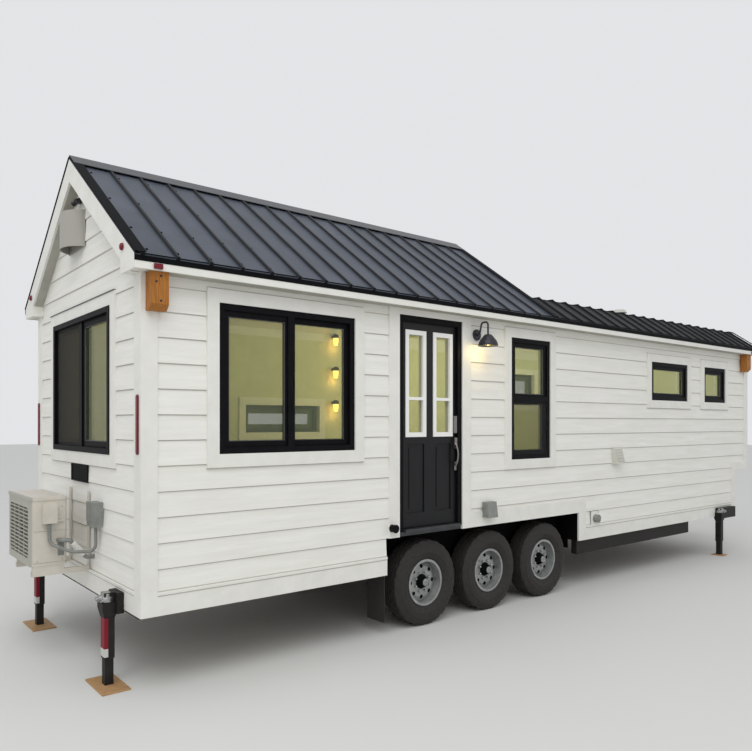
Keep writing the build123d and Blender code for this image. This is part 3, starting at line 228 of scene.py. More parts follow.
# %% Make the finishes of the openings, the trailer and the fittings
# Extruded vinyl is an even black with little gloss.
frame_vinyl = grain(
    surface("extruded_black_vinyl", "#0f0f11", 0.5, Specular_IOR_Level=0.08),
    ("#0c0c0e", "#141417"), 90, rough=(0.45, 0.57), relief_mm=0.1,
)
# A moulded door skin has an upright grain under satin paint.
door_paint = grain(
    surface("painted_door_skin", "#121215", 0.42, Specular_IOR_Level=0.28),
    ("#0f0f11", "#18181b"), 40, stretch=(2.5, 2.5, 0.15), relief_mm=0.35, rough=(0.36, 0.48),
)
# Oiled cedar is warm, with a fine upright grain.
bracket_timber = grain(
    surface("oiled_cedar", "#a56929", 0.6, Specular_IOR_Level=0.3),
    ("#844f1b", "#bd7d35"), 14, stretch=(2.2, 2.2, 0.12), relief_mm=0.8, rough=(0.45, 0.65), detail=6,
)
# Cured rubber is dull, and brownish with road dust.
rubber = grain(
    surface("cured_tyre_rubber", "#2b2927", 0.7, Specular_IOR_Level=0.35),
    ("#242221", "#353230"), 25, relief_mm=0.3, rough=(0.6, 0.8),
)
# Baked silver enamel has a soft metal sheen and no mirror.
rim_enamel = grain(
    surface("silver_wheel_enamel", "#999b9a", 0.4, Metallic=0.35),
    ("#8a8c8b", "#a6a8a7"), 70, rough=(0.3, 0.46), relief_mm=0.15,
)
# Enamel over rolled steel is black and a little uneven.
chassis_paint = grain(
    surface("chassis_enamel", "#1d1b1a", 0.55, Specular_IOR_Level=0.25),
    ("#161514", "#272422"), 110, relief_mm=0.5, rough=(0.46, 0.66),
)
# Zinc plating is bright and mottled.
plated_steel = grain(
    surface("zinc_plated_steel", "#a8a9a8", 0.36, Metallic=0.9),
    ("#8f908f", "#bcbdbc"), 18, rough=(0.28, 0.45), relief_mm=0.1,
)
# Brushed nickel has fine lines across its gloss.
nickel = grain(
    surface("satin_nickel", "#8d8a84", 0.3, Metallic=1.0), ("#7c7973", "#9b9892"), 8,
    stretch=(1, 1, 0.2), rough=(0.24, 0.36),
)
# Baked enamel on folded sheet is even and cream, apart from the painted shade on its front.
case_enamel = grain(
    surface("cream_case_enamel", "#cfc9bd", 0.45),
    ("#c7c1b5", "#d6d0c4"), 200, rough=(0.4, 0.52), relief_mm=0.2,
)
# A rubbed bronze finish is dark, with a dull metal gloss.
dark_bronze = grain(
    surface("oil_rubbed_bronze", "#35353a", 0.42, Metallic=0.6),
    ("#2a2a2e", "#45454b"), 30, rough=(0.36, 0.5), relief_mm=0.15,
)
# Extruded PVC is an even grey.
grey_plastic = grain(
    surface("grey_conduit_plastic", "#82847f", 0.5),
    ("#777974", "#8c8e89"), 60, rough=(0.45, 0.58), relief_mm=0.15,
)
# Moulded acrylic is glossy and deep red.
red_lens = surface("red_lens_plastic", "#6e0c1c", 0.25, Specular_IOR_Level=0.4)
# Reflective film looks plain white by day.
white_tape = surface("white_reflective_tape", "#c9c8c4", 0.5)
# Near-black sheet: painted shade in the wheel wells and the rims' vent holes, and also the black of the
# grease caps.
black_caps_and_painted_shade = surface("black_caps_and_painted_shade_sheet", "#060606", 0.8, Specular_IOR_Level=0.1)
# Reflective film in red.
red_tape = surface("red_reflective_tape", "#7e0d26", 0.5, Specular_IOR_Level=0.3)
# Glazing rubber is a flat grey.
grey_rubber = surface("grey_glazing_rubber", "#4a4b4b", 0.6)
# Moulded frames of the door's lights are a clean white.
light_frame_paint = surface("white_light_frame", "#efefec", 0.4)
# Moulded ABS that has weathered is greyish white.
vent_plastic = grain(
    surface("grey_white_vent_plastic", "#cbc9bf", 0.5), ("#c3c1b6", "#d2d0c7"), 120, rough=(0.44, 0.56)
)
# A rough sawn pad is pale and dry.
pad_timber = grain(
    surface("sand_coloured_pad", "#b08a5c", 0.7),
    ("#9a744a", "#c09a6c"), 20, stretch=(0.3, 2, 2), relief_mm=0.5,
)
# Stamped aluminium fins give fine upright lines. Real ones are too close to show, so they are coarser.
coil_fins = grain(
    surface("dark_coil_fins", "#3c3d3b", 0.5, Metallic=0.4),
    ("#2c2d2c", "#50514f"), 6, stretch=(1, 4, 0.1), relief_mm=0.6,
)
# Extruded aluminium has faint lines along its length.
threshold_alloy = grain(
    surface("mill_finish_threshold", "#4d4e50", 0.45, Metallic=0.8),
    ("#434446", "#58595b"), 12, stretch=(0.1, 1, 1), rough=(0.38, 0.52),
)
# Foam is soft white and has no gloss.
foam_sleeve = grain(
    surface("white_foam_sleeve", "#dddcd6", 0.8), ("#d2d1ca", "#e6e5e0"), 10, relief_mm=0.8
)
# The bent ridge cap has a thin clear coat, which catches the sky.
cap_steel = grain(
    surface("folded_ridge_steel", "#2b2d31", 0.42, Coat_Weight=0.1),
    ("#25272b", "#33363b"), 300, rough=(0.32, 0.46),
)
print("outside finishes:", len(bpy.data.materials), "materials so far")

# %% [markdown]
# The raised ribs of the roof get painted shade: a dark band along each rib, where its shaded side and the
# shadow beside it fall. The distance to the nearest rib is a zigzag of the place along the house, so a
# ping-pong node finds it, with no picture. The front of the outdoor unit gets painted shade too, and the hood
# on the gable is a duller grey than the cover on the long wall. Both are told apart by the same place.

# %% Give places along the house a second colour
first_rib = 0.202
rib_spacing = 0.2585
rib_shade_half = 13 * mm
rib_shade_blur = 8 * mm
front_shade_depth, front_shade_blur = 18 * mm, 10 * mm
hood_depth, hood_blur = 0.1, 0.1


def second_colour(material, colour, start, end, zigzag=None):
    """Colour a material's places up to start along the house, and fade to its own by end.

    A zigzag of (first, spacing) repeats this about each of a row of ribs.
    """
    tree = material.node_tree
    shader = tree.nodes["Principled BSDF"]
    own = shader.inputs["Base Color"].links[0].from_socket
    place = add_node(tree, "ShaderNodeTexCoord").outputs["Object"]
    along = add_node(tree, "ShaderNodeSeparateXYZ", {"Vector": place}).outputs["X"]
    if zigzag:
        first, spacing = zigzag
        shifted = add_node(tree, "ShaderNodeMath", {0: along, 1: first}, operation="SUBTRACT").outputs[0]
        folded = add_node(tree, "ShaderNodeMath", {0: shifted, 1: spacing / 2}, operation="PINGPONG")
        along = folded.outputs[0]
    fade = {"Value": along, "From Min": start, "From Max": end}
    share = add_node(tree, "ShaderNodeMapRange", fade).outputs[0]
    # A colour mix has its two colours on sockets 6 and 7, and its result on socket 2.
    mixed = add_node(tree, "ShaderNodeMix", {0: share, 6: linear(colour), 7: own}, data_type="RGBA")
    tree.links.new(mixed.outputs[2], shader.inputs["Base Color"])


ribs = (rear_x + first_rib, rib_spacing)
# Painted shade along each rib of both roofs.
for material in (roof_steel_painted_sky, low_roof_steel_painted_reflection):
    second_colour(material, "#0b0c0e", rib_shade_half, rib_shade_half + rib_shade_blur, ribs)
# Painted shade: the front of the outdoor unit is coloured darker, standing in for the shade on it.
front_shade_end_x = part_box("condenser")[0].x + front_shade_depth
second_colour(case_enamel, "#aaa89d", front_shade_end_x, front_shade_end_x + front_shade_blur)
hood_end_x = rear_x + hood_depth
second_colour(vent_plastic, "#a5a299", hood_end_x, hood_end_x + hood_blur)
print("ribs every", rib_spacing, "m")

# %% [markdown]
# ## Glass and the inside
# The panes are sealed double glazing with a coating that looks olive from outside. A thin sheet hardly
# bends light, so a clear film with a tint and a sharp gloss stands for it, which also lets the room's
# lamps shine out. The rooms are lined with pale painted boards over a wooden floor.

# %% Make the glass and the inside finishes
# Float glass with a coating: olive, with a sharp gloss.
pane_glass = surface("coated_double_glazing", "#5b6440", 0.03, Alpha=0.34, Specular_IOR_Level=1.0, IOR=1.52)
# A woven cloth looks like a dark film that lets a quarter of the light through.
insect_screen = surface("insect_screen_cloth", "#29271c", 0.8, Alpha=0.72)
# A finer cloth lets most of it through.
fine_screen = surface("fine_screen_cloth", "#2c2e2c", 0.8, Alpha=0.24)
# Painted lining boards are pale and soft.
lining_paint = grain(
    surface("painted_lining_board", "#d6d6b6", 0.6),
    ("#cfcfae", "#dcdcc0"), 250, relief_mm=0.2, rough=(0.55, 0.68),
)
# Lacquered oak has grain along the house and a low gloss.
floor_timber = grain(
    surface("lacquered_oak_floor", "#8a6440", 0.4), ("#755232", "#9b744c"), 30, stretch=(0.08, 1.5, 1),
    relief_mm=0.4, rough=(0.34, 0.5),
)
# Lit glass is a warm glow.
lamp_glow = surface("lit_bulb_glass", "#ffd98a", 0.3, Emission_Color=linear("#ffd060"), Emission_Strength=3.0)
print("inside finishes ready")

# %% [markdown]
# ## Light and floor
# The house stood under an even, bright sky. A white world gives that, one broad soft lamp above the
# camera gives the walls a little shape, and a pale floor sends light back up under the eaves.

# %% Light the scene
sky_strength = 0.8
softbox_size = 8
softbox_watts = 520
scene = bpy.context.scene
scene.view_settings.view_transform = "Standard"
world = bpy.data.worlds.new("even_sky")
world.use_nodes = True
sky = world.node_tree.nodes["Background"]
sky.inputs["Color"].default_value = linear("#fbfcff")
sky.inputs["Strength"].default_value = sky_strength
scene.world = world


def hang_lamp(name, kind, place, watts, colour):
    """Hang a lamp of a kind at a place, and return the object that holds it."""
    lamp = bpy.data.lights.new(name, kind)
    lamp.energy = watts
    lamp.color = linear(colour)[:3]
    holder = bpy.data.objects.new(name, lamp)
    holder.location = place
    scene.collection.objects.link(holder)
    return holder


softbox_place = Vector((rear_x - 3, door_y - 5, 11))
softbox_target = Vector((rear_x + 4, mid_y, 1.5))
softbox = hang_lamp("sky_softbox", "AREA", softbox_place, softbox_watts, "#ffffff")
softbox.data.shape = "SQUARE"
softbox.data.size = softbox_size
softbox.rotation_euler = (softbox_target - softbox_place).to_track_quat("-Z", "Y").to_euler()
print("softbox of", softbox_size, "m, at", [round(value, 2) for value in softbox_place])

# %% [markdown]
# The rooms were lit, and their glow shows in the windows. A row of small point lamps gives it, warm
# towards the rear and cooler towards the hitch. Glowing panes would be simpler, but then nothing inside
# could be seen through them.

# %% Light the rooms
room_lamp_y = mid_y - 0.3
room_lamp_z = floor_z + 1.75
room_lamp_radius = 0.2
warm_light, cool_light = "#f5f3b6", "#eef3c6"
# Each lamp is (distance from the rear wall, watts, colour).
room_lamps = (
    (1.3, 7, warm_light),
    (3.1, 18, warm_light),
    (4.8, 39, warm_light),
    (6.6, 38, cool_light),
    (8.3, 20, cool_light),
)


def point_lamp(name, place, watts, colour, radius):
    """Hang a small bare lamp."""
    hang_lamp(name, "POINT", place, watts, colour).data.shadow_soft_size = radius


for offset, watts, colour in room_lamps:
    point_lamp("room_lamp", (rear_x + offset, room_lamp_y, room_lamp_z), watts, colour, room_lamp_radius)

# %% [markdown]
# The floor is one wide square, so that its edge stays far from the house in every view. It is declared as
# stage, and is no part of the object.

# %% Lay the floor
floor_half = 60
floor_mesh = bpy.data.meshes.new("studio_floor")
corners = [(-floor_half, -floor_half, 0), (floor_half, -floor_half, 0)]
corners += [(floor_half, floor_half, 0), (-floor_half, floor_half, 0)]
floor_mesh.from_pydata(corners, [], [(0, 1, 2, 3)])
studio_floor = bpy.data.objects.new("studio_floor", floor_mesh)
floor_mesh.materials.append(surface("pale_studio_floor", "#d6d6d3", 0.9))
scene.collection.objects.link(studio_floor)
studio_floor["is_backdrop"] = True
print("floor of", 2 * floor_half, "m")

# %% [markdown]
# ## Stock for small pieces
# A house has hundreds of planks, screws and strips. Making each one an object would be slow, so a small
# class collects their corners and faces, and turns each kind into one mesh that rides on its body.


# %% The stock class
stock_edge_limit = 30


def round_edges(piece, width, limit):
    """Bevel a piece's edges that turn by more than a limit in degrees."""
    rounding = piece.modifiers.new("edge", "BEVEL")
    rounding.width = width
    rounding.segments = 2
    rounding.limit_method = "ANGLE"
    rounding.angle_limit = radians(limit)


class Stock:
    """Collects solids that become one mesh."""

    def __init__(self):
        self.points = []
        self.faces = []

    def add(self, points, faces):
        start = len(self.points)
        self.points.extend(Vector(point) for point in points)
        self.faces.extend([start + index for index in face] for face in faces)

    def block(self, corner, opposite):
        """A box between two opposite corners, whichever way round they are."""
        xs, ys, zs = (sorted(pair) for pair in zip(corner, opposite))
        points = [(x, y, z) for x in xs for y in ys for z in zs]
        faces = [(0, 1, 3, 2), (4, 6, 7, 5), (0, 4, 5, 1), (2, 3, 7, 6), (0, 2, 6, 4), (1, 5, 7, 3)]
        self.add(points, faces)

    def rings(self, loops, closed=False):
        """Skin a row of equal loops, and cap the ends of an open row."""
        count = len(loops[0])
        faces = []
        for row in range(len(loops) if closed else len(loops) - 1):
            near, far = row * count, (row + 1) % len(loops) * count
            for step in range(count):
                after = (step + 1) % count
                faces.append((near + step, near + after, far + after, far + step))
        if not closed:
            faces.append(tuple(range(count))[::-1])
            faces.append(tuple((len(loops) - 1) * count + step for step in range(count)))
        self.add([point for loop in loops for point in loop], faces)

    def prism(self, outline, direction):
        """Push a flat outline along a direction."""
        direction = Vector(direction)
        self.rings([[Vector(point) for point in outline], [Vector(point) + direction for point in outline]])

    def lathe(self, profile, centre, axis, steps=32, closed=False):
        """Turn a profile of (reach along the axis, radius) pairs round an axis."""
        turn = Vector(axis).to_track_quat("Z", "Y").to_matrix()
        loops = []
        for reach, radius in profile:
            loop = []
            for step in range(steps):
                angle = tau * step / steps
                loop.append(Vector(centre) + turn @ Vector((radius * cos(angle), radius * sin(angle), reach)))
            loops.append(loop)
        self.rings(loops, closed)

    def tube(self, route, radius, sides=12):
        """Sweep a round section along a row of points."""
        route = [Vector(point) for point in route]
        loops = []
        across = None
        for place, point in enumerate(route):
            ahead = route[min(place + 1, len(route) - 1)] - route[max(place - 1, 0)]
            ahead.normalize()
            if across is None:
                across = ahead.orthogonal().normalized()
            across = (across - ahead * across.dot(ahead)).normalized()
            other = ahead.cross(across)
            turns = [tau * k / sides for k in range(sides)]
            loops.append([point + radius * (across * cos(turn) + other * sin(turn)) for turn in turns])
        self.rings(loops)

    def make(self, name, material, body="house", slot=None, bevel=0.0, smooth=35):
        """Turn the stock into one object that rides on a body."""
        mesh = bpy.data.meshes.new(name)
        mesh.from_pydata(self.points, [], self.faces)
        work = bmesh.new()
        work.from_mesh(mesh)
        bmesh.ops.recalc_face_normals(work, faces=work.faces)
        work.to_mesh(mesh)
        work.free()
        mesh.materials.append(material)
        mesh.shade_smooth()
        mesh.set_sharp_from_angle(angle=radians(smooth))
        piece = bpy.data.objects.new(name, mesh)
        scene.collection.objects.link(piece)
        if bevel:
            round_edges(piece, bevel, stock_edge_limit)
        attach(piece, body)
        print(name, len(self.faces), "faces on", body)
        return piece


# %% [markdown]
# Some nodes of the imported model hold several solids, such as all the window frames. Corners that share an
# edge belong to one solid, so a walk from corner to corner finds each solid and its box.

# %% Find the windows
weld_gap = 0.05 * mm


def loose_boxes(node):
    """The boxes of a node's separate solids, as (lowest, highest) corners."""
    work = bmesh.new()
    work.from_mesh(nodes[node].data)
    bmesh.ops.remove_doubles(work, verts=work.verts, dist=weld_gap)
    left = set(work.verts)
    found = []
    while left:
        island = [left.pop()]
        for vert in island:
            for edge in vert.link_edges:
                other = edge.other_vert(vert)
                if other in left:
                    left.remove(other)
                    island.append(other)
        low = Vector([min(vert.co[axis] for vert in island) for axis in range(3)])
        high = Vector([max(vert.co[axis] for vert in island) for axis in range(3)])
        found.append((low, high))
    work.free()
    return sorted(found, key=lambda pair: tuple(pair[0]))


skirt_top_z = min(high.z for low, high in loose_boxes("skirt_boards"))
casing_boxes = loose_boxes("window_casings")
frame_boxes = loose_boxes("window_frames")
pane_boxes = loose_boxes("window_panes")
print("windows found:", len(frame_boxes), "panes:", len(pane_boxes), "casings:", len(casing_boxes))

# %% [markdown]
# ## Lap siding
# Each course is a plank whose lower edge stands proud over the one below, and that overhang draws the
# fine shadow lines. A bump map could fake the lines, but from the side they would vanish, so each course
# is a real wedge. A course is cut into cells by the openings it meets, and only the cells that are wall
# are kept.


# %% A function that lays one band of a wall
def lay_band(stock, place, left, right, foot, head, holes, depth):
    """Lay one band of a wall as a solid, cut into cells by the holes that it meets."""
    heights = sorted({foot, head} | {z for hole in holes for z in hole[2:] if foot < z < head})
    low_end = max(left(foot), left(head))
    high_end = min(right(foot), right(head))
    cuts = sorted({u for hole in holes for u in hole[:2] if low_end < u < high_end})
    columns, rows = len(cuts) + 1, len(heights) - 1
    index, points, faces = {}, [], []

    def point(column, row, out):
        """Number of a corner of the band, made when it is first asked for."""
        if (column, row, out) not in index:
            z = heights[row]
            ends = [left(z), *cuts, right(z)]
            index[column, row, out] = len(points)
            points.append(place(ends[column], z, depth(z) if out else 0))
        return index[column, row, out]

    def is_wall(column, row):
        """Whether a cell of the band is plank and not an opening."""
        if not (0 <= column < columns and 0 <= row < rows):
            return False
        z = (heights[row] + heights[row + 1]) / 2
        ends = [left(z), *cuts, right(z)]
        u = (ends[column] + ends[column + 1]) / 2
        return not any(h[0] < u < h[1] and h[2] < z < h[3] for h in holes)

    for column in range(columns):
        for row in range(rows):
            if not is_wall(column, row):
                continue
            around = [(column, row), (column + 1, row), (column + 1, row + 1), (column, row + 1)]
            faces.append([point(*spot, True) for spot in around])
            faces.append([point(*spot, False) for spot in around][::-1])
            beyond = [(column, row - 1), (column + 1, row), (column, row + 1), (column - 1, row)]
            for edge in range(4):
                if not is_wall(*beyond[edge]):
                    near, far = around[edge], around[(edge + 1) % 4]
                    ends = [(near, True), (near, False), (far, False), (far, True)]
                    faces.append([point(*spot, out) for spot, out in ends])
    stock.add(points, faces)


# %% [markdown]
# A wall is laid from its foot upwards: a wedge for each course, and a thin line of painted shade at its
# head, just under the next lap. The painted shade lets the joint show from far off, where the overhang's own
# shade is thinner than a pixel.

# %% A function that lays a wall's courses
course = 0.182
least_course = 5 * mm
butt_depth = 13 * mm
lap_depth = 3 * mm
line_height = 8 * mm
line_gauge = 0.6 * mm


def lay_siding(planks, lines, place, left, right, start, top, holes):
    """Lay courses on one wall. place(u, z, depth) gives a point; left and right its ends at a height."""
    bottom = start
    while bottom < top - least_course:
        head = min(bottom + course, top)

        def wedge(z):
            return lap_depth + (butt_depth - lap_depth) * (bottom + course - z) / course

        lay_band(planks, place, left, right, bottom, head, holes, wedge)
        if head < top:
            line_foot = head - line_height
            lay_band(lines, place, left, right, line_foot, head, holes, lambda z: wedge(z) + line_gauge)
        bottom += course


# %% [markdown]
# The long walls have window casings, the doorway, the wheel wells and the raised hitch end to go round.
# Cutting these out with booleans would be slow and leave stray faces, so each is a span where the planks
# stop.

# %% Lay the planks on the long walls
corner_width = 0.105
narrow = 0.3
well_length = 2.98
well_trim_width = 0.140
well_trim_height = 0.150
well_start_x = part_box("mud_flaps")[0].x
well_end_x = well_start_x + well_length
well_top_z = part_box("door_threshold")[0].z
door_casing = max(casing_boxes, key=lambda pair: pair[1].z - pair[0].z)


def wall_holes(side):
    """Spans of one long wall where planks stop, as (start, end, sill, head)."""
    holes = [
        (low.x, high.x, low.z, high.z)
        for low, high in casing_boxes
        if high.x - low.x > narrow and (low.y < mid_y) == (side < 0)
    ]
    board_start_x = door_casing[1].x if side < 0 else well_start_x
    holes.append((board_start_x, well_end_x + well_trim_width, 0, well_top_z + well_trim_height))
    holes.append((well_start_x, well_end_x, 0, well_top_z))
    holes.append((lower_front_x - corner_width, front_x, 0, bump_out_z + corner_width))
    return holes


planks, lines = Stock(), Stock()
for side, face_y in long_faces.items():
    lay_siding(
        planks, lines,
        lambda u, z, depth: (u, face_y + side * depth, z),
        lambda z: rear_x + corner_width,
        lambda z: front_x - corner_width,
        skirt_top_z, plate_z, wall_holes(side),
    )
planks.make("side_wall_planks", siding_paint, slot="siding")
# The lines under the laps are painted shade.
lines.make("side_wall_lap_lines", lap_painted_shade, slot="siding")

# %% [markdown]
# The gable-shaped walls follow the roof, so the ends of their courses move inwards with height. The wall
# at the step of the roof starts with the first course that shows over the low roof.

# %% Lay the planks on the end walls
roof_slope = 0.75
roof_angle = atan(roof_slope)
roof_build_up = 0.150
deck_drop = roof_build_up / cos(roof_angle)
gable_peak_z = ridge_z - deck_drop
plank_peak_z = gable_peak_z - 40 * mm
low_roof_top_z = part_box("low_roof")[1].z
first_step_course = int((low_roof_top_z - skirt_top_z) / course)
gable_holes = [(low.y, high.y, low.z, high.z) for low, high in casing_boxes if high.x - low.x < narrow]
eave_ends = [
    (start, start + wall_thickness, plate_z, ridge_z) for start in (door_y, back_y - wall_thickness)
]


def slope_half(z):
    """Half the width under the steep roof's lining at a height."""
    return (gable_peak_z - z) / roof_slope


def near_end(z):
    return max(door_y + corner_width, mid_y - slope_half(z))


def far_end(z):
    return min(back_y - corner_width, mid_y + slope_half(z))


end_walls = (
    (rear_x, -1, skirt_top_z, plank_peak_z, gable_holes),
    (step_x, 1, skirt_top_z + first_step_course * course, plank_peak_z, []),
    (front_x, 1, bump_out_z + corner_width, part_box("front_wall")[1].z, eave_ends),
    (lower_front_x, 1, skirt_top_z, bump_out_z, []),
)
planks, lines = Stock(), Stock()
for face_x, way, start, top, holes in end_walls:
    lay_siding(
        planks, lines, lambda u, z, depth: (face_x + way * depth, u, z), near_end, far_end, start, top, holes
    )
planks.make("end_wall_planks", siding_paint, slot="siding")
# The lines under the laps are painted shade.
lines.make("end_wall_lap_lines", lap_painted_shade, slot="siding")

# %% [markdown]
# The wheel wells are lined with near-black sheet, so their cut edges show no pale wall and no light comes
# through between the wheels. Its near-black colour is painted shade, standing in for the shadow in the wells.
# Thin boxes do for sheet. They keep clear of the tyres and stop above the axles.

# %% Line the wheel wells
liner_gauge = 3 * mm
liner_foot_z = 0.455
tyre_gap = 25 * mm
deck_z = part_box("floor_deck")[0].z
skirt_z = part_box("skirt_boards")[0].z
end_x = well_end_x - liner_gauge
liners = Stock()
for side_name, side in sides.items():
    face_y = long_faces[side]
    inner_y = face_y - side * wall_thickness
    tub_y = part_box(f"tyre_rear_{side_name}")[1 if side < 0 else 0].y - side * tyre_gap
    liners.block((end_x, face_y, skirt_z), (well_end_x, inner_y, well_top_z))
    liners.block((well_start_x, face_y, well_top_z - liner_gauge), (end_x, inner_y, well_top_z))
    liners.block((end_x, inner_y, liner_foot_z), (well_end_x, tub_y, deck_z))
    liners.block((well_start_x, tub_y, liner_foot_z), (well_end_x, tub_y - side * liner_gauge, deck_z))
liners.make("well_liners_painted_shade", black_caps_and_painted_shade, slot="chassis")

# %% [markdown]
# A drip cap runs along the head of the skirt board and throws a line of shade, with a line of painted
# shade above and below it. A real ledge is as easy to make as a painted line, and it also shows in outline
# from the side.

# %% Cap the skirt
board_thickness = 20 * mm
cap_height = 20 * mm
cap_lap = 2 * mm
cap_reach = board_thickness + 6 * mm
cap_foot_z = skirt_top_z - cap_lap
cap_top_z = skirt_top_z + cap_height
line_depth = butt_depth + 1 * mm
face_film = 0.6 * mm
caps, lines = Stock(), Stock()


def cap_run(low, high, axis, out):
    """A drip cap between two ends on a wall's face, and its lines of painted shade. It sticks out along one
    axis.
    """
    for stock, reach, foot, head in (
        (caps, cap_reach, cap_foot_z, cap_top_z),
        (lines, board_thickness + face_film, cap_foot_z - line_height, cap_foot_z),
        (lines, line_depth, cap_top_z, cap_top_z + line_height),
    ):
        start, end = [*low, foot], [*high, head]
        end[axis] += out * reach
        stock.block(start, end)


for side, face_y in long_faces.items():
    cap_run((rear_x + corner_width, face_y), (well_start_x, face_y), 1, side)
    cap_run((well_end_x + well_trim_width, face_y), (lower_front_x - corner_width, face_y), 1, side)
for face_x, out in ((rear_x, -1), (lower_front_x, 1)):
    cap_run((face_x, door_y + corner_width), (face_x, back_y - corner_width), 0, out)
caps.make("skirt_drip_caps", trim_paint, slot="white_trim", bevel=2 * mm)

# %% [markdown]
# Lines of painted shade also run above and below the casings of the windows, and a folded strip keeps the
# rain off the head of the gable window. Thin strips give both, and stay put when the view changes.

# %% Line the casings
flashing_reach = 8 * mm
flashing_height = 6 * mm
for low, high in casing_boxes:
    if low.z < well_top_z + well_trim_height:
        continue
    axis = 0 if high.x - low.x < narrow else 1
    out = -1 if axis == 0 or low.y < mid_y else 1
    face = rear_x if axis == 0 else long_faces[out]
    for foot, head in ((low.z - line_height, low.z), (high.z, high.z + line_height)):
        start, end = [low.x, low.y, foot], [high.x, high.y, head]
        start[axis], end[axis] = face, face + out * line_depth
        lines.block(start, end)
lines.make("casing_painted_shade_lines", lap_painted_shade, slot="white_trim")
low, high = next(pair for pair in casing_boxes if pair[1].x - pair[0].x < narrow)
flashing = Stock()
flashing.block(
    (low.x - flashing_reach, low.y, high.z), (rear_x - lap_depth, high.y, high.z + flashing_height)
)
flashing.make("head_flashing", threshold_alloy, slot="white_trim")

# %% [markdown]
# ## Boards at the hitch end
# The raised end of the house is edged with the same boards as the other corners: an upright where the
# lower wall stops, and a band along the raised floor. Real boards are cut square, so boxes with a small
# bevel do.

# %% Edge the hitch end with boards
start_x = lower_front_x - corner_width
band_z = bump_out_z + corner_width
boards = Stock()
for side, face_y in long_faces.items():
    outer_y = face_y + side * board_thickness
    inner_y = face_y - side * corner_width
    boards.block((start_x, face_y, skirt_top_z), (lower_front_x, outer_y, bump_out_z))
    boards.block((start_x, face_y, bump_out_z), (front_x - corner_width, outer_y, band_z))
    boards.block((lower_front_x, outer_y, skirt_z), (lower_front_x + board_thickness, inner_y, bump_out_z))
for face_x, foot_z, head_z in ((front_x, bump_out_z, band_z), (lower_front_x, skirt_z, skirt_top_z)):
    far_corner = (face_x + board_thickness, back_y - corner_width, head_z)
    boards.block((face_x, door_y + corner_width, foot_z), far_corner)
boards.make("hitch_end_boards", trim_paint, slot="white_trim", bevel=2 * mm)

# %% [markdown]
# ## Folded steel on the roof
# The ribbed sheets stop at raw edges, so a roofer covers them: an angle along each sloping end and a drip
# strip under the eaves. The low roof is a shallow crown between two bands that go on at the steep slope.
# The slopes are measured first, because the trim, the soffits and the screws all follow them.

# %% Measure the roof's slopes
eave_overhang = 0.120
eave_drip = 30 * mm
low_crown = 40 * mm
sheet_start_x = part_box("steep_metal")[0].x
sheet_end_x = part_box("low_metal")[1].x
wall_half = (back_y - door_y) / 2
half_span = wall_half + eave_overhang
eave_z = ridge_z - roof_slope * half_span
band_top_z = low_roof_top_z - low_crown
band_run = (band_top_z - eave_z) / roof_slope
slope_length = half_span / cos(roof_angle) + eave_drip
band_length = band_run / cos(roof_angle) + eave_drip
crown_run = half_span - band_run
crown_angle = atan(low_crown / crown_run)


def downhill(side, angle):
    return Vector((0, side * cos(angle), -sin(angle)))


def off_roof(side, angle):
    return Vector((0, side * sin(angle), cos(angle)))


print("steep slope", round(slope_length, 3), "m, eaves at", round(eave_z, 3))

# %% [markdown]
# A folded angle could be a plane with thickness, but an outline of six corners pushed along the slope
# gives both of its legs as one closed solid.

# %% Fold the edge trim
rib_top = 25 * mm
trim_gauge = 3 * mm
trim_top_leg = 80 * mm
trim_face_leg = 14 * mm
trim_lift = 4 * mm
eave_strip_height = 55 * mm


def fold_angle(stock, start, run, up, inward):
    """An angle of folded steel: one leg lies on the ribs, the other hangs over the end of the sheets."""
    top = rib_top + trim_gauge
    section = [(0, top), (trim_top_leg, top), (trim_top_leg, rib_top), (trim_gauge, rib_top)]
    section += [(trim_gauge, top - trim_face_leg), (0, top - trim_face_leg)]
    stock.prism([start + Vector((inward * x, 0, 0)) + up * h for x, h in section], run)


edge_trim = Stock()
for side in long_faces:
    down, up = downhill(side, roof_angle), off_roof(side, roof_angle)
    fold_angle(edge_trim, Vector((sheet_start_x - trim_lift, mid_y, ridge_z)), down * slope_length, up, 1)
    fold_angle(edge_trim, Vector((step_x + trim_lift, mid_y, ridge_z)), down * slope_length, up, -1)
    band_top = Vector((sheet_end_x + trim_lift, mid_y + side * crown_run, band_top_z))
    fold_angle(edge_trim, band_top, down * band_length, up, -1)
    crown_top = Vector((sheet_end_x + trim_lift, mid_y, low_roof_top_z))
    fold_angle(edge_trim, crown_top, band_top - crown_top, off_roof(side, crown_angle), -1)
    drip_y = mid_y + side * (half_span + board_thickness)
    strip_start = (sheet_start_x - trim_lift, drip_y, eave_z - eave_strip_height)
    edge_trim.block(strip_start, (sheet_end_x, drip_y + side * trim_gauge, eave_z))
edge_trim.make("roof_edge_trim", trim_steel, slot="roof_metal")

# %% [markdown]
# Under the overhangs the roof is closed with soffit boards. They stay in the shade, and their grey is painted
# shade on white board. They could be painted on the roof's own slab, but a thin board of its own can have its
# own finish.

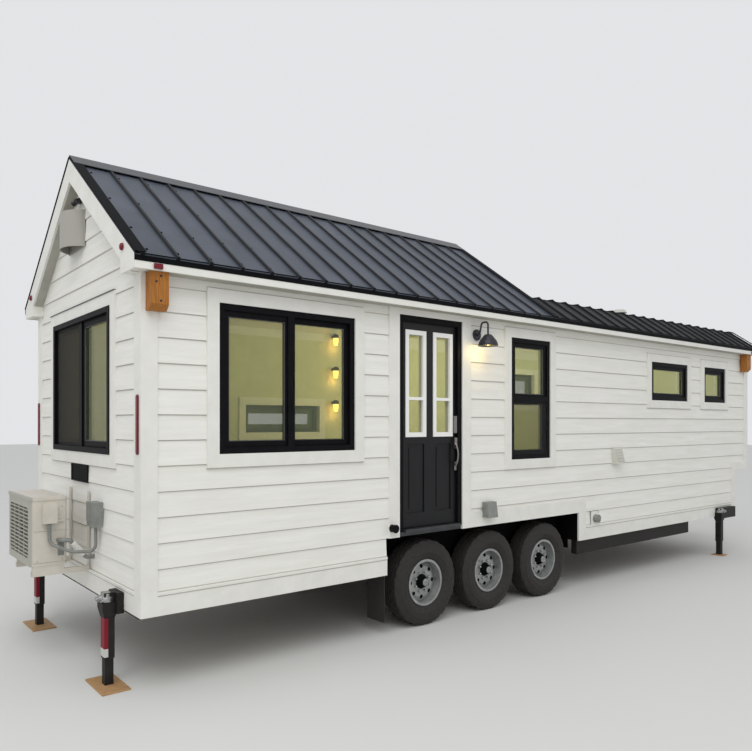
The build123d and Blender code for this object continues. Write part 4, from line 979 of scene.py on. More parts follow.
# %% Close the overhangs with soffit boards
soffit_gauge = 4 * mm
ridge_gap = 30 * mm
lining_half = slope_half(plate_z)
rake_face_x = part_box("rake_boards")[0].x
roof_end_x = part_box("low_roof")[1].x
soffits = Stock()
for side in long_faces:
    inner_y, outer_y = (mid_y + side * reach for reach in (wall_half + butt_depth, half_span))
    soffits.block((rear_x, inner_y, plate_z - soffit_gauge), (roof_end_x, outer_y, plate_z))
    section = [(ridge_gap, 0), (lining_half, 0), (lining_half, soffit_gauge), (ridge_gap, soffit_gauge)]
    outline = []
    for reach, drop in section:
        height = ridge_z - roof_slope * reach - deck_drop - drop
        outline.append((rake_face_x + board_thickness, mid_y + side * reach, height))
    soffits.prism(outline, (rear_x - butt_depth - rake_face_x - board_thickness, 0, 0))
soffits.make("soffit_boards", soffit_painted_shade, slot="white_trim")

# %% [markdown]
# Screws with broad washer heads hold the sheets, in rows across the slopes beside each rib. They are
# turned from a short profile with six sides, and one mesh holds them all, because so many objects would
# slow the file.

# %% Drive the roof screws
sheet_gauge = 6 * mm
screw_beside_rib = 34 * mm
screw_head = [(0, 12 * mm), (2 * mm, 12 * mm), (3 * mm, 7 * mm), (7 * mm, 6 * mm)]
steep_rows = (0.26, 0.80, 1.34, 1.70)
band_rows = (0.10, 0.38)
crown_rows = (0.25, 0.65, 0.95)
rib_count = int((sheet_end_x - rear_x - first_rib) / rib_spacing)
screw_columns = [rake_face_x + trim_top_leg + screw_beside_rib]
screw_columns += [rear_x + first_rib + number * rib_spacing + screw_beside_rib for number in range(rib_count)]
screws = Stock()
for x in screw_columns:
    for side in long_faces:
        if x < step_x - trim_top_leg:
            runs = [(Vector((x, mid_y, ridge_z)), roof_angle, steep_rows)]
        elif x > step_x + trim_top_leg:
            runs = [(Vector((x, mid_y + side * crown_run, band_top_z)), roof_angle, band_rows)]
            runs.append((Vector((x, mid_y, low_roof_top_z)), crown_angle, crown_rows))
        else:
            runs = []
        for start, angle, places in runs:
            up = off_roof(side, angle)
            for reach in places:
                spot = start + downhill(side, angle) * reach + up * sheet_gauge
                screws.lathe(screw_head, spot, up, steps=6)
screws.make("roof_screws", trim_steel, slot="roof_metal")

# %% [markdown]
# ## Sashes and glazing
# Inside each fixed frame a sash holds the glass, a little further back. Where two sashes meet they are
# slimmer, and one of the pair runs on the inner track. A thin bead of grey rubber seals the glass. A sash
# could be a box with a hole cut in it, but four bars keep clean edges that a bevel can round.


# %% Functions for frames and panes
def bars_round(stock, low, high, along, widths):
    """Four bars round the edge of a flat box. Widths go left, right, bottom, top."""
    left, right, bottom, top = widths
    spans = [
        (low[along], low[along] + left, low[2], high[2]),
        (high[along] - right, high[along], low[2], high[2]),
        (low[along] + left, high[along] - right, low[2], low[2] + bottom),
        (low[along] + left, high[along] - right, high[2] - top, high[2]),
    ]
    for start, end, foot, head in spans:
        corner, opposite = list(low), list(high)
        corner[along], opposite[along], corner[2], opposite[2] = start, end, foot, head
        stock.block(corner, opposite)


def encloses(outer, inner):
    return all(outer[0][k] <= inner[0][k] and inner[1][k] <= outer[1][k] for k in range(3))


def in_gable(box):
    """Whether a window's box lies in the gable, and so is wider across the house than along it."""
    return box[1].y - box[0].y > box[1].x - box[0].x


# %% [markdown]
# The gap between a pane and its frame tells which edges lie at the frame and which are where two sashes
# meet, so one loop serves every window.

# %% Make the sashes
sash_face = 45 * mm
sash_meeting = 20 * mm
frame_face_limit = 60 * mm
sash_recess = 13 * mm
inner_track = 16 * mm
sash_thickness = 34 * mm
bead_width = 7 * mm
bead_recess = 5 * mm
sash_bevel = 2.5 * mm
sashes, beads = Stock(), Stock()
for pane in pane_boxes:
    frame_box = next(box for box in frame_boxes if encloses(box, pane))
    facing = 0 if in_gable(pane) else 1
    along = 1 - facing
    outward = 1 if facing == 1 and pane[0].y > mid_y else -1
    outer = 0 if outward < 0 else 1
    gaps = [pane[0][along] - frame_box[0][along], frame_box[1][along] - pane[1][along]]
    gaps += [pane[0].z - frame_box[0].z, frame_box[1].z - pane[1].z]
    widths = [sash_face if gap < frame_face_limit else sash_meeting for gap in gaps]
    on_inner_track = gaps[0] > frame_face_limit or gaps[3] > frame_face_limit
    recess = sash_recess + (inner_track if on_inner_track else 0)
    front = frame_box[outer][facing] - outward * recess
    low, high = pane[0].copy(), pane[1].copy()
    low[facing], high[facing] = front, front - outward * sash_thickness
    bars_round(sashes, low, high, along, widths)
    for edge, axis in ((0, along), (2, 2)):
        low[axis] += widths[edge]
        high[axis] -= widths[edge + 1]
    low[facing], high[facing] = front - outward * bead_recess, pane[outer][facing]
    bars_round(beads, low, high, along, [bead_width] * 4)
sashes.make("window_sashes", frame_vinyl, slot="window_frame", bevel=sash_bevel)
beads.make("glazing_beads", grey_rubber, slot="window_frame", bevel=1 * mm)

# %% [markdown]
# The frame of the gable window has a lip that stands a little proud of its casing, so it also shows from
# the side. Four more bars make it.

# %% Fit the lip of the gable window
lip_face = 46 * mm
lip_proud = 8 * mm
gable_frame = next(box for box in frame_boxes if in_gable(box))
lip_low, lip_high = gable_frame[0].copy(), gable_frame[1].copy()
lip_low.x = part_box("window_casings")[0].x - lip_proud
lip_high.x = gable_frame[0].x + lip_proud
lip = Stock()
bars_round(lip, lip_low, lip_high, 1, [lip_face] * 4)
lip.make("gable_window_lip", frame_vinyl, slot="window_frame", bevel=sash_bevel)

# %% [markdown]
# The far half of the gable window has its insect screen on, and the hung window has a finer one below.
# The cloth's threads are far too fine to model, so a thin sheet that lets part of the light through
# stands for them.

# %% Fit the insect screens
screen_recess = 4 * mm
screen_thickness = 8 * mm
cloth_inset = Vector((4 * mm, 0, 0))
cloth_back = Vector((3 * mm, 0, 0))
hung_screen_depths = (6 * mm, 7 * mm)
hung_height = 1.0
far_pane = max((pane for pane in pane_boxes if in_gable(pane)), key=lambda pane: pane[0].y)
screen_low, screen_high = far_pane[0].copy(), far_pane[1].copy()
screen_low.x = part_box("window_frames")[0].x + screen_recess
screen_high.x = screen_low.x + screen_thickness
screen = Stock()
screen.block(screen_low + cloth_inset, screen_high - cloth_back)
screen.make("insect_screen", insect_screen, slot="window_frame")


def is_hung(box):
    """Whether a frame is tall and narrow, and in a long wall."""
    size = box[1] - box[0]
    return size.x < hung_height < size.z and not in_gable(box)


hung = next(box for box in frame_boxes if is_hung(box) and box[0].y < mid_y)
low, high = min((pane for pane in pane_boxes if encloses(hung, pane)), key=lambda pane: pane[0].z)
front_y, rear_y = (hung[0].y + depth for depth in hung_screen_depths)
screen = Stock()
screen.block((low.x, front_y, low.z), (high.x, rear_y, high.z))
screen.make("hung_screen", fine_screen, slot="window_frame")

# %% [markdown]
# The sliding and hung sashes have small latches where they meet. A latch is one rounded block at this
# size, upright on a sliding pair and level on a hung one.

# %% Frame the screen and fit the latches
screen_bar = 20 * mm
latch_half = 45 * mm
hung_latch_half = 40 * mm
latch_width = 12 * mm
latch_from_middle = 20 * mm
hung_latch_from_middle = 12 * mm
latch_sink, latch_proud = 8 * mm, 4 * mm
sliding_width = 1.2
fittings = Stock()
bars_round(fittings, screen_low, screen_high, 1, [screen_bar] * 4)
for low, high in frame_boxes:
    size = high - low
    centre = (low + high) / 2
    if in_gable((low, high)):
        continue
    if size.x > sliding_width:
        start_x = centre.x + latch_from_middle
        latch = (start_x, start_x + latch_width, centre.z - latch_half, centre.z + latch_half)
    elif size.z > hung_height:
        foot_z = centre.z + hung_latch_from_middle
        latch = (centre.x - hung_latch_half, centre.x + hung_latch_half, foot_z, foot_z + latch_width)
    else:
        continue
    outward = -1 if low.y < mid_y else 1
    face_y = low.y if outward < 0 else high.y
    fittings.block(
        (latch[0], face_y - outward * latch_sink, latch[2]),
        (latch[1], face_y + outward * latch_proud, latch[3]),
    )
fittings.make("screen_frame_and_latches", frame_vinyl, slot="window_frame", bevel=1.5 * mm)

# %% [markdown]
# A rubber sweep on the inside of the door closes the gap over the threshold. It could be part of the
# leaf, but as a piece of its own it has its own rubber, and it rides on the door's body so that it swings
# with the leaf.

# %% Fit the door sweep
sweep_gap = 1.5 * mm
sweep_end = 12 * mm
sweep_gauge = 7 * mm
sweep_lap = 35 * mm
leaf_low, leaf_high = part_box("door_leaf")
sweep_foot_z = max(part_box("door_threshold")[1].z, floor_z) + sweep_gap
sweep = Stock()
sweep.block(
    (leaf_low.x + sweep_end, leaf_high.y, sweep_foot_z),
    (leaf_high.x - sweep_end, leaf_high.y + sweep_gauge, leaf_low.z + sweep_lap),
)
sweep.make("door_sweep", rubber, body="entry_door", slot="door_paint")
print("gap closed over the threshold:", round(leaf_low.z - sweep_foot_z, 4))

# %% [markdown]
# ## Wheels
# A trailer tyre has four plain grooves round its tread, short cross cuts at the shoulders and a few
# raised rings on its sidewall. Its section is swept round the axle, and the cuts come from lowering the
# shoulder at every few steps, which is lighter than cutting each block with a boolean.

# %% Draw half of a tyre's section, in millimetres
bead_half, bead_radius, heel_radius = 80, 206, 220
shoulder_half, shoulder_radius = 100, 376
sidewall_steps = 12
sidewall_bulge = 27
sidewall_rings = (2, 5, 9)
ring_height, ring_sink = 3, 1
shoulder_blocks = ((96, 386), (91, 396), (84, 402), (58, 402))
groove_middles = (48, 15)
groove_section = ((6, 402), (4, 393), (-4, 393), (-6, 402))


def tyre_half():
    """Half of the section from the bead to the tread's middle, as (offset, radius, kind)."""
    points = [(bead_half, bead_radius, "plain"), (bead_half, heel_radius, "plain")]
    for step in range(1, sidewall_steps + 1):
        share = step / sidewall_steps
        ring = (ring_height if step in sidewall_rings else 0) - ring_sink
        offset = bead_half + (shoulder_half - bead_half) * share + sidewall_bulge * sin(pi * share) + ring
        points.append((offset, heel_radius + (shoulder_radius - heel_radius) * share, "plain"))
    points += [(offset, radius, "block") for offset, radius in shoulder_blocks]
    for middle in groove_middles:
        points += [(middle + offset, radius, "groove") for offset, radius in groove_section]
    return points


half_section = tyre_half()
whole_section = half_section + [(-offset, radius, kind) for offset, radius, kind in half_section[::-1]]
print("points in a tyre's section:", len(whole_section))

# %% [markdown]
# The section is turned in small steps. At every fifth step the shoulder blocks are lowered to leave a
# cut, and the grooves sway from side to side by block. The swept tyre takes the place of the packed
# model's plain one.

# %% Sweep the tyres
rows = ("rear", "middle", "front")
sweep_steps = 120
steps_per_block = 5
cross_cut = 7 * mm
groove_sway = 2 * mm


def wheel_centre(row, side_name):
    low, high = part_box(f"tyre_{row}_{side_name}")
    return (low + high) / 2


def tyre_loop(centre, step):
    """The section at one step of the sweep, with its cut and its sway."""
    angle = tau * step / sweep_steps
    cut = cross_cut if step % steps_per_block == 0 else 0
    sway = groove_sway if step % (2 * steps_per_block) < steps_per_block else -groove_sway
    loop = []
    for offset, radius, kind in whole_section:
        reach = radius * mm - (cut if kind == "block" else 0)
        out = offset * mm + (sway if kind == "groove" else 0)
        loop.append(centre + Vector((reach * cos(angle), out, reach * sin(angle))))
    return loop


for row in rows:
    for side_name in sides:
        wheel = f"{row}_{side_name}"
        centre = wheel_centre(row, side_name)
        tyre = Stock()
        tyre.rings([tyre_loop(centre, step) for step in range(sweep_steps)], closed=True)
        piece = tyre.make(f"tread_tyre_{wheel}", rubber, body=f"wheel_{wheel}", slot="tyre", smooth=28)
        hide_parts(f"tyre_{wheel}")

# %% [markdown]
# The steel wheel comes from the imported model. Its hub gets a black grease cap with a plated boss, eight
# nuts and a valve, and near-black discs sit in its vent holes as painted shade. All of them are turned from
# profiles, which is how such parts are made, and they ride on the wheel's body so that they turn with it.

# %% Dress the hubs
nut_count = 8
nut_circle = 92 * mm
dish_face = 30 * mm
hole_circle = 146 * mm
hole_lean = 0.23
hole_sink = 1 * mm
valve_circle, valve_face = 186 * mm, 12 * mm
cap_profile = [(0.026, 0.070), (0.034, 0.070), (0.040, 0.066), (0.064, 0.052)]
cap_profile += [(0.076, 0.046), (0.081, 0.036), (0.082, 0.010)]
boss_profile = [(0.081, 0.034), (0.087, 0.034), (0.090, 0.028), (0.090, 0.012), (0.084, 0.010)]
hole_profile = [(0, 20 * mm), (1 * mm, 20 * mm)]
nut_profile = [(0, 15 * mm), (3 * mm, 15 * mm), (4 * mm, 12 * mm), (21 * mm, 11 * mm), (27 * mm, 6 * mm)]
valve_profile = [(0, 6 * mm), (30 * mm, 5 * mm), (30 * mm, 4 * mm), (42 * mm, 4 * mm)]


def spoke(number):
    """Direction of a place on a circle of as many places as there are nuts."""
    angle = tau * number / nut_count
    return Vector((cos(angle), 0, sin(angle)))


for row in rows:
    for side_name, side in sides.items():
        wheel = f"{row}_{side_name}"
        centre = wheel_centre(row, side_name)
        axis = Vector((0, side, 0))
        cap, nuts = Stock(), Stock()
        cap.lathe(cap_profile, centre, axis, steps=40)
        nuts.lathe(boss_profile, centre, axis)
        for number in range(nut_count):
            out = spoke(number)
            hole = centre + out * hole_circle + axis * (dish_face - hole_sink)
            # Painted shade: a near-black disc sunk in each vent hole of the rim.
            cap.lathe(hole_profile, hole, axis + out * hole_lean, steps=20)
            nut = centre + spoke(number + 0.5) * nut_circle + axis * dish_face
            nuts.lathe(nut_profile, nut, axis, steps=6)
        valve = centre + Vector((valve_circle, side * valve_face, 0))
        nuts.lathe(valve_profile, valve, axis, steps=10)
        cap.make(f"grease_cap_{wheel}", black_caps_and_painted_shade, body=f"wheel_{wheel}", slot="rim")
        nuts.make(f"wheel_nuts_{wheel}", plated_steel, body=f"wheel_{wheel}", slot="rim", smooth=25)

# %% [markdown]
# ## Stabiliser jacks
# Each jack has a cast gear head with a socket for its crank, and a dark collar round its tube. The head and
# its socket are turned, and the collar is a row of square loops that widens towards its top, which a plain
# box couldn't do.

# %% Functions for a jack's gear head and collar
tube_face = 38 * mm
gear_shift = 12 * mm
socket_drop = 34 * mm
bolt_drop = 50 * mm
bolt_offset = 34 * mm
jack_bevel = 1.5 * mm
gear_profile = [(-0.060, 0.052), (-0.03, 0.052), (-0.02, 0.040), (0.0, 0.040), (0.006, 0.030)]
socket_profile = [(0.036, 0.026), (0.072, 0.024), (0.072, 0.016), (0.090, 0.016)]
bolt_profile = [(0.046, 0.011), (0.058, 0.010), (0.060, 0.006)]
collar_profile = [(0.500, tube_face), (0.502, 0.042), (0.570, 0.058), (0.612, 0.058), (0.612, tube_face)]


def make_collar(name, foot):
    """A collar round a jack's tube, from (height, half width) pairs."""
    loops = []
    for height, half in collar_profile:
        corners = ((-half, -half), (half, -half), (half, half), (-half, half))
        loops.append([Vector((foot.x + x, foot.y + y, height)) for x, y in corners])
    collar = Stock()
    collar.rings(loops, closed=True)
    collar.make(f"jack_collar_{name}", chassis_paint, slot="jack_steel", bevel=jack_bevel)


def make_gear_head(name, head, crank_way):
    """A gear head with two bolts, and a socket that faces the crank's way."""
    gear = Stock()
    gear.lathe(gear_profile, head + crank_way * gear_shift, (0, 0, 1), steps=20)
    gear.lathe(socket_profile, head - Vector((0, 0, socket_drop)), crank_way, steps=16)
    across = Vector((-crank_way.y, crank_way.x, 0))
    for way in (-1, 1):
        spot = head + across * way * bolt_offset - Vector((0, 0, bolt_drop))
        gear.lathe(bolt_profile, spot, crank_way, steps=6)
    gear.make(f"gear_head_{name}", plated_steel, slot="jack_steel", bevel=jack_bevel)


# %% [markdown]
# The rear pair also has red and white tape on two faces of its tubes, which is a film a millimetre thick
# here. Each leg stands on a sand-coloured pad, which rides on the leg's body and lifts with it.

# %% Functions for a jack's tape and pad
tape_gap = 1 * mm
tape_width = 28 * mm
tape_foot_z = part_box("jack_tubes")[0].z + 12 * mm
white_end_z = tape_foot_z + 60 * mm
tape_top_z = 0.500
tape_bands = (("white", white_tape, tape_foot_z, white_end_z), ("red", red_tape, white_end_z, tape_top_z))
rear_way, door_way, back_way = Vector((-1, 0, 0)), Vector((0, -1, 0)), Vector((0, 1, 0))
pad_height = 13 * mm
rear_pad_spare = Vector((30 * mm, 110 * mm, 0))
front_pad_spare = Vector((3 * mm, 3 * mm, 0))


def wrap_tape(name, foot):
    """Bands of tape on a tube's rear face and part of its door-side face."""
    for colour, material, foot_z, head_z in tape_bands:
        corner = Vector((foot.x, foot.y, foot_z)) + (rear_way + door_way) * tube_face
        tape = Stock()
        for way, other, width in ((rear_way, door_way, 2 * tube_face), (door_way, rear_way, tape_width)):
            far = corner - other * width
            film = way * tape_gap
            tape.prism([corner, far, far + film, corner + film], (0, 0, head_z - foot_z))
        tape.make(f"{colour}_tape_{name}", material, slot="jack_steel")


def set_pad(name, foot_low, foot_high, spare):
    """A pad under a leg, wider than its foot by a spare on each side."""
    pad = Stock()
    pad.block(foot_low - spare, (foot_high.x + spare.x, foot_high.y + spare.y, pad_height))
    pad.make(f"foot_pad_{name}", pad_timber, body=f"jack_{name}", slot="jack_steel", bevel=3 * mm)


# %% [markdown]
# The jacks differ only in the way their crank faces, in their tape and in the width of their pads, so one
# loop dresses all four.

# %% Dress the jacks
head_sink = 5 * mm
tube_boxes = loose_boxes("jack_tubes")
jack_names = ("rear_door", "rear_back", "front_door", "front_back")
for name in jack_names:
    foot_low, foot_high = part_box(f"jack_leg_{name}")
    foot = (foot_low + foot_high) / 2
    tube = min(tube_boxes, key=lambda pair: ((pair[0] + pair[1]) / 2 - foot).xy.length)
    head = Vector((foot.x, foot.y, tube[1].z - head_sink))
    make_collar(name, foot)
    if name.startswith("rear"):
        make_gear_head(name, head, rear_way)
        wrap_tape(name, foot)
        set_pad(name, foot_low, foot_high, rear_pad_spare)
    else:
        make_gear_head(name, head, door_way if foot.y < mid_y else back_way)
        set_pad(name, foot_low, foot_high, front_pad_spare)

# %% [markdown]
# ## Outdoor unit
# Behind the slats of the heat pump sit its coil and a three-bladed fan. A moulded blade twists and widens
# from its root to its tip, so each is skinned over three curved sections. The coil's fins are too fine to
# model, so its finish draws them.

# %% Fill the outdoor unit
case_foot_z = 0.790
lid_height = 26 * mm
fan_inset = 0.355
coil_inset = 63 * mm
coil_gauge = 2 * mm
coil_near, coil_far = 0.07, 0.64
coil_half = 0.19
blade_count = 3
blade_gap = 4 * mm
blade_gauge = 2 * mm
# Each section of a blade is (radius, start angle, sweep angle, lift).
blade_sections = ((0.035, 0.0, 0.9, 0.022), (0.110, 0.25, 1.15, 0.020), (0.185, 0.55, 1.25, 0.016))
hub_profile = [(0.004, 0.045), (0.030, 0.042), (0.036, 0.030), (0.037, 0.004)]
unit_low, unit_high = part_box("condenser")
unit_z = (case_foot_z + unit_high.z - lid_height) / 2
coil_x = unit_low.x + coil_inset
fan_centre = Vector((coil_x, unit_high.y - fan_inset, unit_z))


def blade_loop(number, radius, start, sweep, lift):
    """One section of a blade, out along its front and back along its rear."""
    edge = [(share, blade_gap + lift * share) for share in (0, 0.5, 1)]
    edge += [(share, rise + blade_gauge) for share, rise in edge[::-1]]
    loop = []
    for share, rise in edge:
        angle = tau * number / blade_count + start + sweep * share
        loop.append(fan_centre + Vector((-rise, radius * cos(angle), radius * sin(angle))))
    return loop


coil, fan = Stock(), Stock()
coil_corner = (coil_x + coil_gauge, unit_high.y - coil_near, unit_z + coil_half)
coil.block((coil_x, unit_high.y - coil_far, unit_z - coil_half), coil_corner)
coil.make("unit_coil", coil_fins, slot="unit_case")
fan.lathe(hub_profile, fan_centre, rear_way, steps=28)
for number in range(blade_count):
    fan.rings([blade_loop(number, *section) for section in blade_sections])
fan.make("unit_fan", frame_vinyl, slot="unit_case")

# %% [markdown]
# The case is folded from sheets, so its side shows two seams and the screws that hold them, with a bare
# label and a grip. They lie on the face as thin boxes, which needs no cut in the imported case.

# %% Add the unit's seams, label and grip
case_width = 0.704
case_face_y = unit_high.y - case_width
seam_heights = (0.812, 1.060)
seam_height = 3 * mm
seam_proud = 1 * mm
seam_start, seam_end = 30 * mm, 2 * mm
small_screw = [(0, 5 * mm), (2 * mm, 5 * mm), (3 * mm, 3 * mm)]
# Places on the side are (distance from the unit's far end, height).
case_screws = ((-0.09, 1.25), (-0.04, 1.25), (-0.04, 0.83), (-0.23, 0.83))
label_corners = ((-0.075, 0.86), (-0.025, 0.99))
grip_corners = ((-0.085, 1.13), (-0.030, 1.145))
grip_proud = 14 * mm


def side_block(stock, corners, proud):
    """A box on the unit's side between two places."""
    (x0, z0), (x1, z1) = corners
    stock.block((unit_high.x + x0, case_face_y - proud, z0), (unit_high.x + x1, case_face_y, z1))


seams, label, grip = Stock(), Stock(), Stock()
seam_span = (unit_low.x - unit_high.x + seam_start, -seam_end)
for height in seam_heights:
    side_block(seams, ((seam_span[0], height), (seam_span[1], height + seam_height)), seam_proud)
for x, z in case_screws:
    seams.lathe(small_screw, (unit_high.x + x, case_face_y, z), door_way, steps=10)
seams.make("unit_seams", plated_steel, slot="unit_case")
side_block(label, label_corners, seam_proud)
label.make("bare_label", grey_plastic, slot="unit_case")
side_block(grip, grip_corners, grip_proud)
grip.make("unit_grip", case_enamel, slot="unit_case", bevel=3 * mm)

# %% [markdown]
# ## Fittings of the gable
# A dark plate hangs under the gable window in a slim frame. A thin box makes the plate, and four bars like
# those of a sash make the frame, so that it stands proud of the plate.

# %% Hang the gable's plate
plate_y = door_y + 1.315
plate_half = 0.205
plate_foot_z, plate_head_z = 1.425, 1.560
plate_front_x, plate_back_x = rear_x - 18 * mm, rear_x - 12 * mm
rail_width = 9 * mm
rail_low = Vector((rear_x - 24 * mm, plate_y - 0.215, 1.418))
rail_size = Vector((12 * mm, 0.430, 0.149))
plate, rails = Stock(), Stock()
plate.block(
    (plate_front_x, plate_y - plate_half, plate_foot_z), (plate_back_x, plate_y + plate_half, plate_head_z)
)
plate.make("bare_dark_plate", trim_steel, slot="siding", bevel=2 * mm)
bars_round(rails, rail_low, rail_low + rail_size, 1, [rail_width] * 4)
rails.make("plate_frame", frame_vinyl, slot="siding", bevel=2 * mm)

# %% [markdown]
# Red lamps mark the house's width on the road: a bar with round ends on each corner board, a round lamp
# on each rake board and small blocks under the eaves. A bar's outline is two half circles, pushed out
# from the board.

# %% Fix the marker lamps
bar_lamp_z = (1.69, 2.11)
bar_lamp_half = 17 * mm
bar_lamp_inset = 28 * mm
bar_lamp_depth = 14 * mm
half_turn_steps = 8
round_lamp_profile = [(0, 0.026), (0.012, 0.026), (0.020, 0.018), (0.022, 0.004)]
round_lamp_reach, round_lamp_z = 1.212, 3.137
eave_lamp_places = (rear_x + 0.055, front_x - 0.12)
eave_lamp_z = (2.962, 2.998)
eave_lamp_half = 32 * mm
eave_lamp_depth = 20 * mm
board_face_x = rear_x - board_thickness
lamps = Stock()
for side in long_faces:
    centre_y = mid_y + side * (wall_half - bar_lamp_inset)
    outline = []
    for end, way in ((bar_lamp_z[1] - bar_lamp_half, 1), (bar_lamp_z[0] + bar_lamp_half, -1)):
        for step in range(half_turn_steps + 1):
            angle = pi * step / half_turn_steps
            across, rise = way * bar_lamp_half * cos(angle), way * bar_lamp_half * sin(angle)
            outline.append((board_face_x, centre_y + across, end + rise))
    lamps.prism(outline, (-bar_lamp_depth, 0, 0))
    round_lamp = (rake_face_x, mid_y + side * round_lamp_reach, round_lamp_z)
    lamps.lathe(round_lamp_profile, round_lamp, rear_way, steps=24)
    fascia_y = mid_y + side * (half_span + board_thickness)
    for x in eave_lamp_places:
        far_corner = (x + eave_lamp_half, fascia_y + side * eave_lamp_depth, eave_lamp_z[1])
        lamps.block((x - eave_lamp_half, fascia_y, eave_lamp_z[0]), far_corner)
lamps.make("marker_lamps", red_lens, slot="white_trim", bevel=4 * mm)

# %% [markdown]
# Above the vent hood a bronze twin lamp looks down and to both sides. A plain cylinder would do for a head
# from afar, but a turned cup also has a rim.

# %% Fix the twin lamp
twin_y = door_y + 1.29
twin_z = 3.79
twin_half = 50 * mm
twin_block_half = 15 * mm
twin_front_x, twin_back_x = rear_x - 34 * mm, rear_x - 4 * mm
cup_x = rear_x - 30 * mm
cup_offset = 40 * mm
cup_lean, cup_fall, cup_spread = -0.8, -0.6, 0.16
cup_profile = [(0, 0.014), (0.035, 0.020), (0.052, 0.022), (0.052, 0.018), (0.046, 0.014)]
twin = Stock()
for way in (-1, 1):
    cup = Vector((cup_x, twin_y + way * cup_offset, twin_z))
    twin.lathe(cup_profile, cup, (cup_lean, way * cup_spread, cup_fall), steps=20)
twin.block(
    (twin_front_x, twin_y - twin_half, twin_z - twin_block_half),
    (twin_back_x, twin_y + twin_half, twin_z + twin_block_half),
)
twin.make("twin_lamp", dark_bronze, slot="lamp", bevel=2 * mm)

# %% [markdown]
# ## Small fittings
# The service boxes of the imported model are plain, so their covers are added. The power inlet has a white
# plate with a round rim, held by four screws, and the drain has a cap. Boxes and turned rings do, because
# each is only a few pixels wide.

# %% Cover the inlet and the drain
screw_inset = 14 * mm
cover_edge, cover_gauge = 1 * mm, 1.5 * mm
cover_profile = [(1.5 * mm, 62 * mm), (2.5 * mm, 58 * mm), (2.5 * mm, 47 * mm), (0, 47 * mm)]
drain_profile = [(-0.026, 0.034), (0.020, 0.034), (0.022, 0.038)]
drain_profile += [(0.031, 0.038), (0.031, 0.028), (0.029, 0.006)]
switch_box, drain_stub, outlet_cover, power_inlet = loose_boxes("service_boxes")
screws, inlet_cover, drain = Stock(), Stock(), Stock()
low, high = power_inlet
inlet_centre = (low + high) / 2
cover_y = high.y - board_thickness
for spot_x in (low.x + screw_inset, high.x - screw_inset):
    for spot_z in (low.z + screw_inset, high.z - screw_inset):
        screws.lathe(small_screw, (spot_x, cover_y, spot_z), door_way, steps=8)
cover_corner = (high.x + cover_edge, cover_y, high.z + cover_edge)
inlet_cover.block((low.x - cover_edge, cover_y - cover_gauge, low.z - cover_edge), cover_corner)
inlet_cover.lathe(cover_profile, (inlet_centre.x, cover_y, inlet_centre.z), door_way)
inlet_cover.make("inlet_cover", trim_paint, slot="service_grey", bevel=0.5 * mm)
drain.lathe(drain_profile, (drain_stub[0] + drain_stub[1]) / 2, door_way, steps=24)
drain.make("drain_cap", frame_vinyl, slot="service_grey")

# %% [markdown]
# Part of the line set is wrapped in a sleeve of white foam. A round section swept along the line gives
# its soft, thick shape, and a wide bevel rounds its ends.

# %% Sleeve the line set
sleeve_radius = 25 * mm
sleeve_parts = 6
line_y = case_face_y - 65 * mm
sleeve_start = Vector((rear_x - 0.090, line_y, 0.858))
sleeve_end = Vector((rear_x - 0.180, line_y, 0.962))
sleeve_route = [sleeve_start.lerp(sleeve_end, part / sleeve_parts) for part in range(sleeve_parts + 1)]
sleeve = Stock()
sleeve.tube(sleeve_route, sleeve_radius, sides=20)
sleeve.make("line_sleeve", foam_sleeve, slot="service_grey", bevel=5 * mm)

# %% [markdown]
# The switch box has a lid and a catch, the outlet a flap, and the inlet a ring in its middle. All are of
# the same grey plastic, so one mesh holds them.

# %% Add the lid, the flap and the ring
lid = 3 * mm
lid_foot = 40 * mm
catch_low, catch_high = Vector((-9 * mm, 60 * mm, 52 * mm)), Vector((0, 100 * mm, 64 * mm))
flap_edge = 20 * mm
flap_proud, flap_depth, flap_end = 4 * mm, 6 * mm, 30 * mm
ring_profile = [(0, 0.030), (0.004, 0.030), (0.006, 0.024), (0.006, 0.008)]
details = Stock()
low, high = switch_box
details.block(low + Vector((-lid, -lid, lid_foot)), (low.x, high.y + lid, high.z + lid))
details.block(low + catch_low, low + catch_high)
low, high = outlet_cover
flap_corner = (low.x + flap_depth, high.y - flap_end, high.z - flap_edge)
details.block(low + Vector((-flap_proud, 0, flap_edge)), flap_corner)
ring_place = (inlet_centre.x, power_inlet[0].y, inlet_centre.z)
details.lathe(ring_profile, ring_place, door_way, steps=28)
details.make("cover_details", grey_plastic, slot="service_grey", bevel=1.5 * mm)

# %% [markdown]
# Each timber bracket shows three bolts on its outer face. They are turned like the screws of the inlet's
# plate and have the same bronze, so one mesh holds both.

# %% Bolt the brackets
bolt_head = [(0, 9 * mm), (1.5 * mm, 9 * mm), (3.5 * mm, 6 * mm), (4 * mm, 1 * mm)]
# Each bolt is (share of the bracket's width, distance under its top).
bracket_bolts = ((0.55, 0.035), (0.3, 0.075), (0.55, 0.205))
for low, high in loose_boxes("eave_brackets"):
    side = -1 if low.y < mid_y else 1
    face_y = low.y if side < 0 else high.y
    for share, drop in bracket_bolts:
        spot = (low.x + share * (high.x - low.x), face_y, high.z - drop)
        screws.lathe(bolt_head, spot, (0, side, 0), steps=10)
screws.make("bracket_bolts", dark_bronze, slot="timber")

# %% [markdown]
# The cover on the long wall has five slats that follow its tapered face, and the hood on the gable has a
# flange against the siding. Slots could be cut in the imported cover, but thin boxes sunk in its face throw
# the same lines of shade.

